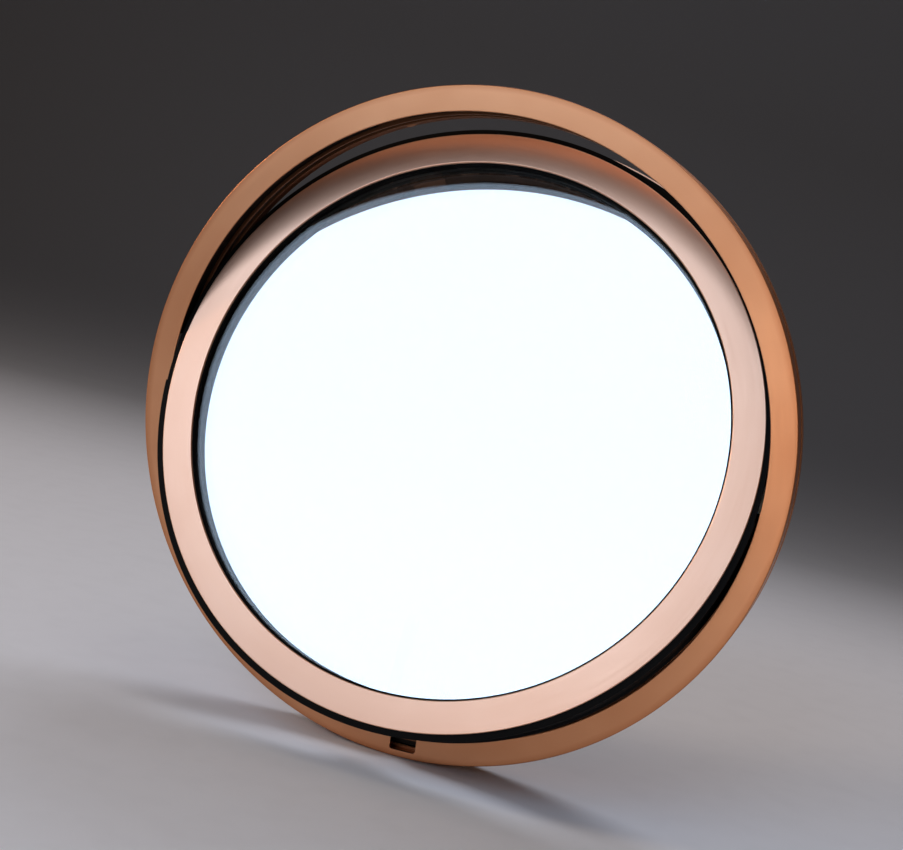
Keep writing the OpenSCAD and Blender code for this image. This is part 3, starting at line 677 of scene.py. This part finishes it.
# ---- Outer half of the sash ----
# The sash's outer extrusion, rolled and satin anodised as the frame. Its paler rose colour is painted
# reflection: the frame's film drawn lighter for the bright light that the leaning sash mirrors.
# Everything on the sash is drawn closed and then leant 17 degrees about the pivot axis, top into the
# room.
LEAN = -17.0


def lean(piece):
    """Leans a finished sash piece to where the sash stands."""
    take(piece)
    piece.rotation_euler = (math.radians(LEAN), 0, 0)
    bpy.ops.object.transform_apply()
    return piece


# Painted reflection: the sash's film is painted paler and pinker than the frame's, for the bright light
# it mirrors
sky_lit_rose_film = anodised("satin_anodised_aluminium_painted_sky_lit_rose", "#EFBEA1", "#E3AD8E", leaning=-LEAN)

SIGHT_R, SASH_R = 287, 320
SASH_FRONT, SASH_BACK = -30, 27
SASH_WALL = 3
GLASS_WALL_R = 301
SASH_BREAK_FROM, SASH_BREAK_TO = -4, 6
INNER_WALL_R, OUTER_WALL_R = GLASS_WALL_R + SASH_WALL, SASH_R - SASH_WALL
PIN_POCKETS = [((INNER_WALL_R, -18, -25), (330, 18, 25)), ((-330, -18, -25), (-INNER_WALL_R, 18, 25))]
PIN_SCREW_R, PIN_SCREW_Z = 2.55, 17


def pin_pockets():
    """The room for the pin blocks, which stops at the sash's inner wall."""
    tool = join([block(*pocket) for pocket in PIN_POCKETS])
    return cut(tool, [rod(INNER_WALL_R, (0, -0.02, 0), (0, 0.02, 0), RING_STEPS)])


def pin_screw_holes(sides=(1, -1)):
    """The holes of the pin block screws, two on each side."""
    return [rod(PIN_SCREW_R, Vector((s * 296, 0, z)) * MM, Vector((s * 325, 0, z)) * MM, ROUND_STEPS)
            for s in sides for z in (-PIN_SCREW_Z, PIN_SCREW_Z)]


face_back = SASH_FRONT + SASH_WALL
ring = turn("sash_front_rolled", [
    (SIGHT_R, SASH_FRONT, 1.3), (SASH_R, SASH_FRONT, 1.0), (SASH_R, SASH_BREAK_FROM, 0.3),
    (OUTER_WALL_R, SASH_BREAK_FROM, 0.3), (OUTER_WALL_R, face_back), (INNER_WALL_R, face_back),
    (INNER_WALL_R, SASH_BREAK_FROM, 0.3), (GLASS_WALL_R, SASH_BREAK_FROM, 0.3),
    (GLASS_WALL_R, face_back, 0.3), (SIGHT_R, face_back, 0.4)])
cut(ring, [pin_pockets()])
finish_with(ring, sky_lit_rose_film)
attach(lean(ring), "sash")
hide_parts("sash_front_ring")

# ---- Thermal break of the sash ----
# The same glass-filled polyamide webs as in the frame, between the sash's two extrusions.
web = webs("sash_break_webs", GLASS_WALL_R + 0.1, SASH_R - 0.1, SASH_BREAK_FROM, SASH_BREAK_TO)
cut(web, [pin_pockets()])
cut(web, pin_screw_holes())
finish_with(web, polyamide)
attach(lean(web), "sash")
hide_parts("sash_thermal_break")

# ---- Inner half of the sash ----
# The room-side extrusion of the sash, with the holes for the overlap ring's and latch's screws.
OVERLAP_SCREWS, OVERLAP_SCREW_RING_R = [16, 45, 75, 105, 135, 164], 314
CASE_R, CASE_SCREW_X = 310.5, 30


def case_holes(radius, front, back, sides, *places_x):
    """Holes along the depth at the latch case's height, between two depths."""
    return [rod(radius, Vector((x, front, -CASE_R)) * MM, Vector((x, back, -CASE_R)) * MM, sides)
            for x in places_x]


ring = turn("sash_back_rolled", [
    (GLASS_WALL_R, SASH_BREAK_TO, 0.3), (INNER_WALL_R, SASH_BREAK_TO, 0.3),
    (INNER_WALL_R, SASH_BACK - SASH_WALL), (OUTER_WALL_R, SASH_BACK - SASH_WALL),
    (OUTER_WALL_R, SASH_BREAK_TO, 0.3), (SASH_R, SASH_BREAK_TO, 0.3), (SASH_R, SASH_BACK, 0.8),
    (GLASS_WALL_R, SASH_BACK, 0.4)])
cut(ring, [pin_pockets()])
cut(ring, ring_holes(SMALL_SCREW_HOLE_R, OVERLAP_SCREW_RING_R, SASH_BACK - 4, SASH_BACK + 2,
                     OVERLAP_SCREWS)
    + case_holes(SMALL_SCREW_HOLE_R, SASH_BACK - 4, SASH_BACK + 2, 20, -CASE_SCREW_X, CASE_SCREW_X))
finish_with(ring, sky_lit_rose_film)
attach(lean(ring), "sash")
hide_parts("sash_back_ring")

# ---- Edge seal of the sash ----
# A wide EPDM band stretched round the sash, with two fins that close the gap to the frame. The
# front fin is wider below the pivots, where it only ever swings out of the frame.
SEAL_R, FIN_R, LOW_FIN_R = SASH_R + 3, SASH_R + 5.5, SASH_R + 6.8
FIN_FRONT, FIN_T = -28, 3
seal = turn("sash_edge_band", [
    (SASH_R + 0.1, FIN_FRONT), (FIN_R, FIN_FRONT, 0.3), (FIN_R, FIN_FRONT + FIN_T, 0.5),
    (SEAL_R, -22, 0.5), (SEAL_R - 0.8, -12, 2.0), (SEAL_R - 0.8, 10, 2.0), (SEAL_R, 18, 0.5),
    (FIN_R, 21, 0.5), (FIN_R, 24, 0.3), (SEAL_R, SASH_BACK, 0.3), (SASH_R + 0.1, SASH_BACK)])
fin = turn("sash_low_fin", [
    (SASH_R + 1, FIN_FRONT), (LOW_FIN_R, FIN_FRONT, 0.4), (LOW_FIN_R, FIN_FRONT + FIN_T, 0.6),
    (SASH_R + 1, FIN_FRONT + FIN_T)], start=185, end=355)
cut(seal, [fin], "UNION")
cut(seal, [block((310, -18.1, -25.1), (330, 18.1, 25.1)),
           block((-330, -18.1, -25.1), (-310, 18.1, 25.1))])
finish_with(seal, epdm)
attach(lean(seal), "sash")
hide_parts("sash_edge_seal")

# ---- Outer glazing gasket ----
# An extruded EPDM wedge gasket between the sash's lip and the outer pane, seen as a thin black
# line round the glass.
GASKET_R, GASKET_OUTER_R = 285, 295
OUTER_PANE_FRONT, PANE_T, CAVITY = -21, 4, 8
gasket = turn("outer_gasket_wedge", [
    (GASKET_R + 1, face_back, 0.3), (GASKET_OUTER_R, face_back), (GASKET_OUTER_R, OUTER_PANE_FRONT),
    (GASKET_R, OUTER_PANE_FRONT, 0.3), (GASKET_R, face_back + 1.5, 0.5)])
finish_with(gasket, epdm)
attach(lean(gasket), "sash")
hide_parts("outer_glazing_gasket")

# ---- Insulating glass unit ----
# Two 4 mm float panes 8 mm apart. The outer one is clear. The inner one is dark body-tinted
# glass whose cavity face has a bright sputtered metal film, so the window mirrors the sky.


def glass(name, shade, haze, **values):
    """Float glass. Its base colour tints what is seen through it, and faint clouds in the
    roughness are the last trace of dried rain, drawn about 60 mm wide."""
    material, shader = begin(name, shade, IOR=1.52, Transmission_Weight=1.0, **values)
    places = add(material, "ShaderNodeTexCoord")
    clouds = add(material, "ShaderNodeTexNoise", {"Scale": 1 / (60 * MM), "Detail": 5.0},
                 {"Vector": places.outputs["Object"]})
    film = add(material, "ShaderNodeMapRange",
               {"From Min": 0.4, "From Max": 0.8, "To Min": 0.0, "To Max": haze},
               {"Value": clouds.outputs["Fac"]})
    material.node_tree.links.new(film.outputs[0], shader.inputs["Roughness"])
    return material


# Clear soda-lime float glass: colourless, faintly green at the edge
clear_float = glass("clear_float_glass", "#FAFCFB", 0.012)
# Body-tinted float glass: dark neutral grey, lets about a tenth of the light through
grey_float = glass("grey_body_tinted_float_glass", "#4A4D50", 0.008)
# Sputtered chromium-steel film on the glass: a soft silver mirror
mirror_film = glass("sputtered_mirror_film", "#E6E8EA", 0.006, metallic=0.75)

PANE_R = 297


def pane(name, front):
    """A round pane with ground edges."""
    back = front + PANE_T
    return turn(name, [(0, front), (PANE_R, front, 0.5), (PANE_R, back, 0.5), (0, back)])


outer = pane("outer_float_pane", OUTER_PANE_FRONT)
finish_with(outer, clear_float)
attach(lean(outer), "sash")
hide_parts("outer_pane")

CAVITY_FRONT = OUTER_PANE_FRONT + PANE_T
CAVITY_BACK = CAVITY_FRONT + CAVITY
inner = pane("inner_mirror_pane", CAVITY_BACK)
finish_with(inner, grey_float)
inner.data.materials.append(mirror_film)
for face in inner.data.polygons:
    if face.normal.y < -0.9:
        face.material_index = 1
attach(lean(inner), "sash")
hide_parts("inner_pane")

# ---- Spacer bar and edge sealant ----
# A folded spacer bar bent into a hoop, filled with desiccant behind fine holes, and polysulphide
# poured round it. Both lie between the panes at their edge.
SPACER_R, SPACER_OUTER_R = 285.5, 292.5
HOLE_PITCH = 6


def perforated(name, shade):
    """Roll-formed spacer: dark and matt, with a row of 1 mm breather holes. The holes are
    really about 2 mm apart, and are drawn every 6 mm so that they show. They are painted
    as near-black dots, painted shade for the dark insides of the holes."""
    material, shader = begin(name, shade, roughness=0.6, Specular_IOR_Level=0.15)
    places = add(material, "ShaderNodeTexCoord")
    upright = add(material, "ShaderNodeMapping", {"Rotation": (math.radians(-LEAN), 0, 0)},
                  {"Vector": places.outputs["Object"]})
    parts = add(material, "ShaderNodeSeparateXYZ", links={0: upright.outputs[0]})
    angle = add(material, "ShaderNodeMath",
                links={0: parts.outputs["Z"], 1: parts.outputs["X"]}, operation="ARCTAN2")
    wave = add(material, "ShaderNodeMath", {1: SPACER_R / HOLE_PITCH},
               {0: angle.outputs[0]}, operation="MULTIPLY")
    fraction = add(material, "ShaderNodeMath", {1: 0.5}, {0: wave.outputs[0]}, operation="PINGPONG")
    row = add(material, "ShaderNodeMath", {1: -(CAVITY_FRONT + CAVITY / 2) * MM},
              {0: parts.outputs["Y"]}, operation="ADD")
    off_row = add(material, "ShaderNodeMath", links={0: row.outputs[0]}, operation="ABSOLUTE")
    near_row = add(material, "ShaderNodeMath", {1: 0.5 * MM}, {0: off_row.outputs[0]},
                   operation="LESS_THAN")
    near_hole = add(material, "ShaderNodeMath", {1: 0.1}, {0: fraction.outputs[0]},
                    operation="LESS_THAN")
    hole = add(material, "ShaderNodeMath",
               links={0: near_row.outputs[0], 1: near_hole.outputs[0]}, operation="MULTIPLY")
    # Painted shade: the holes are near-black dots, for their dark insides
    shades = add(material, "ShaderNodeMix", {6: linear(shade), 7: linear("#060606")},
                 {0: hole.outputs[0]}, data_type="RGBA")
    material.node_tree.links.new(shades.outputs[2], shader.inputs["Base Color"])
    return material


spacer = turn("spacer_hoop", [
    (SPACER_R, CAVITY_FRONT, 0.8), (SPACER_OUTER_R, CAVITY_FRONT, 1.0),
    (SPACER_OUTER_R, CAVITY_BACK, 1.0), (SPACER_R, CAVITY_BACK, 0.8)])
finish_with(spacer, perforated("black_coated_steel_spacer", "#0B0B0C"))
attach(lean(spacer), "sash")
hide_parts("spacer_bar")

# Poured polysulphide: black, rubbery, a little wavy
polysulphide = grained("poured_polysulphide_sealant", "#0A0A0A", "#121211", 2.5, 0.6, 0.06,
                      Specular_IOR_Level=0.2)
sealant = turn("edge_sealant_bed", [
    (SPACER_OUTER_R, CAVITY_FRONT), (PANE_R, CAVITY_FRONT),
    (PANE_R - 0.6, CAVITY_FRONT + CAVITY / 2, 1.5), (PANE_R, CAVITY_BACK),
    (SPACER_OUTER_R, CAVITY_BACK)])
finish_with(sealant, polysulphide)
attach(lean(sealant), "sash")
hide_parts("edge_sealant")

# ---- Setting blocks ----
# Moulded packers that carry the glass clear of the metal: two under it, one on each side.

# Injection-moulded polypropylene: blue, half gloss
packer_blue = grained("moulded_polypropylene_blue", "#2F5D8C", "#4A6B8A", 1.0, 0.4, 0.02)
PACKER_PLACES, PACKER_HALF = (245, 295, 160, 20), 5
PACKER_FRONT, PACKER_BACK = -20, -6
under, over = PANE_R + 0.1, GLASS_WALL_R - 0.1
packers = [turn("packer", [(under, PACKER_FRONT, 0.4), (over, PACKER_FRONT, 0.4),
                           (over, PACKER_BACK, 0.4), (under, PACKER_BACK, 0.4)],
                start=a - PACKER_HALF, end=a + PACKER_HALF) for a in PACKER_PLACES]
packers = join(packers, "setting_block_set")
finish_with(packers, packer_blue)
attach(lean(packers), "sash")
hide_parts("setting_blocks")

# ---- Inner glazing gasket and glazing bead ----
# From the room: the bead, a rolled and clipped-in aluminium profile with one open joint near the
# top, presses the inner gasket on the glass.
INNER_PANE_BACK, BEAD_FRONT = CAVITY_BACK + PANE_T, 0
gasket = turn("inner_gasket_wedge", [
    (GASKET_R, INNER_PANE_BACK, 0.3), (GASKET_OUTER_R, INNER_PANE_BACK), (GASKET_OUTER_R, BEAD_FRONT),
    (GASKET_R + 1, BEAD_FRONT, 0.3), (GASKET_R, BEAD_FRONT - 1.5, 0.5)])
finish_with(gasket, epdm)
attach(lean(gasket), "sash")
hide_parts("inner_glazing_gasket")

BEAD_JOINT, BEAD_JOINT_HALF = 100, 0.0952
BEAD_T = 2.5
bead = turn("glazing_bead_clip", [
    (SIGHT_R, BEAD_FRONT, 0.3), (over, BEAD_FRONT, 0.3), (over, BEAD_FRONT + BEAD_T, 0.3),
    (SIGHT_R + BEAD_T, BEAD_FRONT + BEAD_T), (SIGHT_R + BEAD_T, SASH_BACK - BEAD_T),
    (over, SASH_BACK - BEAD_T, 0.3), (over, SASH_BACK, 0.3), (SIGHT_R, SASH_BACK, 1.2)],
    start=BEAD_JOINT + BEAD_JOINT_HALF, end=BEAD_JOINT - BEAD_JOINT_HALF + 360)
finish_with(bead, sky_lit_rose_film)
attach(lean(bead), "sash")
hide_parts("glazing_bead")

# ---- Upper overlap ring, its seal and screws ----
# A half ring with a foot, screwed to the sash's back: its soft strip closes on the frame's back.
OVERLAP_FROM, OVERLAP_TO = 10, 170
OVERLAP_R, OVERLAP_OUTER_R = 308, 345
OVERLAP_FRONT, OVERLAP_BACK = 33, 36
ring = turn("upper_overlap_plate", [
    (OVERLAP_R, SASH_BACK, 0.3), (SASH_R, SASH_BACK, 0.3), (SASH_R, OVERLAP_FRONT, 0.3),
    (OVERLAP_OUTER_R, OVERLAP_FRONT, 0.6), (OVERLAP_OUTER_R, OVERLAP_BACK, 0.8),
    (OVERLAP_R, OVERLAP_BACK, 0.8)], start=OVERLAP_FROM, end=OVERLAP_TO)
cut(ring, ring_holes(SMALL_SCREW_HOLE_R, OVERLAP_SCREW_RING_R, SASH_BACK - 1, OVERLAP_BACK + 1,
                     OVERLAP_SCREWS))
cut(ring, [sink(SMALL_SCREW_HOLE_R, SMALL_SINK_R,
                at(OVERLAP_SCREW_RING_R, OVERLAP_BACK + JUST_OVER, a), (0, -1, 0))
           for a in OVERLAP_SCREWS])
finish_with(ring, sky_lit_rose_film)
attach(lean(ring), "sash")
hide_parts("upper_overlap_ring")

strip = turn("upper_overlap_strip", [
    (OVERLAP_OUTER_R - 16, 30.3, 0.8), (OVERLAP_OUTER_R - 2, 30.3, 0.8),
    (OVERLAP_OUTER_R - 2, OVERLAP_FRONT), (OVERLAP_OUTER_R - 16, OVERLAP_FRONT)],
    start=OVERLAP_FROM, end=OVERLAP_TO)
finish_with(strip, epdm)
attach(lean(strip), "sash")
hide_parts("upper_overlap_seal")

screws = repeat(countersunk(2, 4, 16), "upper_overlap_screw_set",
                [aim(at(OVERLAP_SCREW_RING_R, OVERLAP_BACK, a), (0, -1, 0)) for a in OVERLAP_SCREWS])
finish_with(screws, stainless)
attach(lean(screws), "sash")
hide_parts("upper_overlap_screws")

# ---- Pivot pins ----
# A steel block let into each side of the sash, with the pin turned on it, and two screws through
# the block into the sash's inner wall.
PIN_BLOCK_FACE = 319
PIN_R, PIN_LENGTH = 7, 26
steel = block((300, -17.9, -24.9), (PIN_BLOCK_FACE, 17.9, 24.9))
round_edges(lambda middle, e: middle.x > (PIN_BLOCK_FACE - 0.1) * MM, 1.0, 2)
cut(steel, [drum(INNER_WALL_R + 0.1)])
cut(steel, pin_screw_holes((1,)))
cut(steel, [sink(PIN_SCREW_R, BIG_SINK_R, Vector((PIN_BLOCK_FACE + 0.001, 0, z)) * MM, (-1, 0, 0))
            for z in (-PIN_SCREW_Z, PIN_SCREW_Z)])
pin = turn("pin", [(0, -2), (PIN_R, -2), (PIN_R, PIN_LENGTH, 0.8), (0, PIN_LENGTH)], steps=48)
pin.matrix_world = aim((PIN_BLOCK_FACE * MM, 0, 0), (1, 0, 0))
bpy.ops.object.transform_apply()
cut(steel, [pin], "UNION")
steel.name = steel.data.name = "pivot_pin_right_block"
for body, node in ((steel, "pivot_pin_right"),
                   (mirrored(steel, "pivot_pin_left_block"), "pivot_pin_left")):
    finish_with(body, plated_steel)
    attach(lean(body), "sash")
    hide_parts(node)

screws = repeat(countersunk(2.5, 5, 17.7), "pivot_pin_screw_set",
                [aim(Vector((side * PIN_BLOCK_FACE, 0, z)) * MM, (-side, 0, 0))
                 for side in (1, -1) for z in (-PIN_SCREW_Z, PIN_SCREW_Z)])
finish_with(screws, stainless)
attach(lean(screws), "sash")
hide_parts("pivot_pin_screws")

# ---- Latch case, its screws and pin ----
# A solid aluminium case on the back of the sash at the bottom, anodised with it. The lever turns
# on a stainless pin through the case.
CASE_BACK, CASE_HALF_W, CASE_HALF_H = 39, 38, 8
LEVER_HOLE_R = 3.05
case = block((-CASE_HALF_W, SASH_BACK, -CASE_R - CASE_HALF_H),
             (CASE_HALF_W, CASE_BACK, -CASE_R + CASE_HALF_H))
round_edges(lambda middle, e: middle.y > (SASH_BACK + 0.1) * MM, 2, 4)
cut(case, case_holes(SMALL_SCREW_HOLE_R, SASH_BACK - 1, CASE_BACK + 2, 20, -CASE_SCREW_X, CASE_SCREW_X)
    + case_holes(LEVER_HOLE_R, SASH_BACK - 1, CASE_BACK + 2, 32, 0))
cut(case, [sink(SMALL_SCREW_HOLE_R, SMALL_SINK_R, Vector((x, CASE_BACK + JUST_OVER, -CASE_R)) * MM,
                (0, -1, 0)) for x in (-CASE_SCREW_X, CASE_SCREW_X)])
case.name = case.data.name = "latch_case_body"
finish_with(case, sky_lit_rose_film)
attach(lean(case), "sash")
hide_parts("latch_case")

screws = repeat(countersunk(2, 4, 19), "latch_case_screw_set",
                [aim(Vector((x, CASE_BACK, -CASE_R)) * MM, (0, -1, 0))
                 for x in (-CASE_SCREW_X, CASE_SCREW_X)])
finish_with(screws, stainless)
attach(lean(screws), "sash")
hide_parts("latch_case_screws")

COLLAR_R, COLLAR_T, HEAD_R, HEAD_BACK = 7, 1.7, 6, 51.3
shank_r = LEVER_HOLE_R - PLAY
pin = turn("lever_pin_turned", [
    (0, SASH_BACK + 0.1), (shank_r, SASH_BACK + 0.1), (shank_r, CASE_BACK), (COLLAR_R, CASE_BACK, 0.2),
    (COLLAR_R, CASE_BACK + COLLAR_T, 0.2), (shank_r, CASE_BACK + COLLAR_T), (shank_r, HEAD_BACK - 2),
    (HEAD_R, HEAD_BACK - 2, 0.2), (HEAD_R, HEAD_BACK, 0.9), (0, HEAD_BACK)], steps=40)
pin.location = (0, 0, -CASE_R * MM)
bpy.ops.object.transform_apply()
finish_with(pin, stainless)
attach(lean(pin), "sash")
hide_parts("lever_pin")

# ---- Latch lever ----
# A cast lever with a long grip and a short nose at right angles, linished round and anodised
# with the sash. It stands unlocked, with its grip up along the glass.
LEVER_BACK, LEVER_T = 41, 8


def arc(x, z, radius, first, last, count):
    """Points of an arc in the lever's plane, in mm."""
    return [(x + radius * math.cos(math.radians(first + (last - first) * i / count)),
             z + radius * math.sin(math.radians(first + (last - first) * i / count)))
            for i in range(count + 1)]


outline = (
    arc(0, 104.5, 7.5, 0, 180, 16)
    + [(-5.6, 30)] + arc(-10.6, 12.0, 5.0, 0, -90, 6)
    + arc(-24, 0, 7, 90, 270, 14)
    + arc(0, 0, 9, 231.1, 383.6, 18) + [(5.6, 30)])
lever = draw("latch_lever_cast", [Vector((x, LEVER_BACK, z - CASE_R)) * MM for x, z in outline])
bpy.ops.mesh.extrude_region_move(TRANSFORM_OT_translate={"value": (0, LEVER_T * MM, 0)})
tidy_shell(lever)


def rims(middle, edge):
    """The sharp edges round the lever's two flat faces."""
    return edge.calc_face_angle(0) > 0.9 and abs(edge.verts[0].co.y - edge.verts[1].co.y) < 1e-6


round_edges(rims, 1.6, 4)
cut(lever, case_holes(LEVER_HOLE_R, LEVER_BACK - 3, LEVER_BACK + LEVER_T + 3, 40, 0))
finish_with(lever, sky_lit_rose_film)
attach(lean(lever), "lever")
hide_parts("latch_lever")

# ---- Floor, backdrop, lights and camera ----
# The window stands on its rim on a pale seamless floor that curves up into a backdrop. One big
# soft box stands where the glass mirrors it, one hangs above, one behind lights the floor, and
# two small lamps light the frame from the side and from low in front.
FLOOR_Z = -0.3545
FLOOR_SIZE = (16, 11, 1)
SWEEP_Y, SWEEP_R, BACKDROP_H = 3.5, 1.4, 5.5
bpy.ops.mesh.primitive_plane_add(size=1, location=(0, 0, 0))
floor = bpy.context.object
floor.name = floor.data.name = "floor"
bpy.ops.object.mode_set(mode="EDIT")
bpy.ops.transform.resize(value=FLOOR_SIZE)
bpy.ops.transform.translate(value=(0, SWEEP_Y - FLOOR_SIZE[1] / 2, FLOOR_Z))
pick(lambda middle, e: middle.y > SWEEP_Y - 0.1, "edges")
bpy.ops.mesh.extrude_region_move(TRANSFORM_OT_translate={"value": (0, 0, BACKDROP_H)})
pick(lambda middle, e: abs(middle.y - SWEEP_Y) < 0.01 and middle.z < FLOOR_Z + 0.01, "edges")
bpy.ops.mesh.bevel(offset=SWEEP_R, segments=16)
bpy.ops.object.mode_set(mode="OBJECT")
bpy.ops.object.shade_smooth_by_angle(angle=math.radians(40))

# Painted vinyl sweep: a pale matt floor, its colour graded to dark grey up the backdrop as painted
# shade, for light falling off away from the lamps
floor_paint = grained("matt_painted_vinyl", "#EEF1F6", "#E9ECF1", 2.0, 0.8, 0.02)
shader = floor_paint.node_tree.nodes["Principled BSDF"]
places = add(floor_paint, "ShaderNodeTexCoord")
parts = add(floor_paint, "ShaderNodeSeparateXYZ", links={0: places.outputs["Object"]})
# Painted shade: the colour darkens with distance behind the window
grade = add(floor_paint, "ShaderNodeMapRange", {"From Min": 0.9, "From Max": 2.9},
            {"Value": parts.outputs["Y"]}, interpolation_type="SMOOTHSTEP")
painted = add(floor_paint, "ShaderNodeMix", {7: linear("#5A5D62")},
              {0: grade.outputs[0], 6: shader.inputs["Base Color"].links[0].from_socket},
              data_type="RGBA")
floor_paint.node_tree.links.new(painted.outputs[2], shader.inputs["Base Color"])
finish_with(floor, floor_paint)


def lamp(name, place, target, width, height, radiance, shade):
    """A soft box at a place, facing a target, as bright per area as given."""
    bpy.ops.object.light_add(type="AREA", location=place)
    box = bpy.context.object
    box.name = name
    box.data.shape = "RECTANGLE"
    box.data.size, box.data.size_y = width, height
    box.data.energy = radiance * math.pi * width * height
    box.data.color = linear(shade)[:3]
    box.rotation_euler = (Vector(target) - Vector(place)).to_track_quat("-Z", "Y").to_euler()
    box.visible_camera = False
    return box


lamp("front_soft_box", (-0.86, -2.6, 1.42), (0, 0, 0), 2.2, 1.85, 2.75, "#C6E1FF")
lamp("top_soft_box", (0.2, -0.5, 2.6), (0, 0.1, 0), 1.4, 1.0, 1.0, "#FFEBD6")
lamp("key_lamp", (-2.75, -1.25, 1.15), (0, 0, 0), 0.6, 0.6, 20.0, "#FFE6CE")
lamp("back_soft_box", (0.3, 1.5, 2.1), (0, -0.3, -0.35), 2.4, 1.2, 2.5, "#F2F4FF")
lamp("low_front_lamp", (0.15, -2.9, -0.05), (0, 0, 0), 0.9, 0.55, 3.2, "#FFEFE2")

world = bpy.data.worlds.new("studio")
world.use_nodes = True
world.node_tree.nodes["Background"].inputs["Color"].default_value = linear("#B2957A")
world.node_tree.nodes["Background"].inputs["Strength"].default_value = 0.3
bpy.context.scene.world = world

bpy.ops.object.camera_add(
    location=(0.4657, -1.6093, 0.1815),
    rotation=[math.radians(turned) for turned in (83.731, -11.567, 17.653)],
)
camera = bpy.context.object
camera.data.sensor_width = 36
camera.data.lens = 63.8
bpy.context.scene.camera = camera
bpy.context.scene.view_settings.view_transform = "Standard"
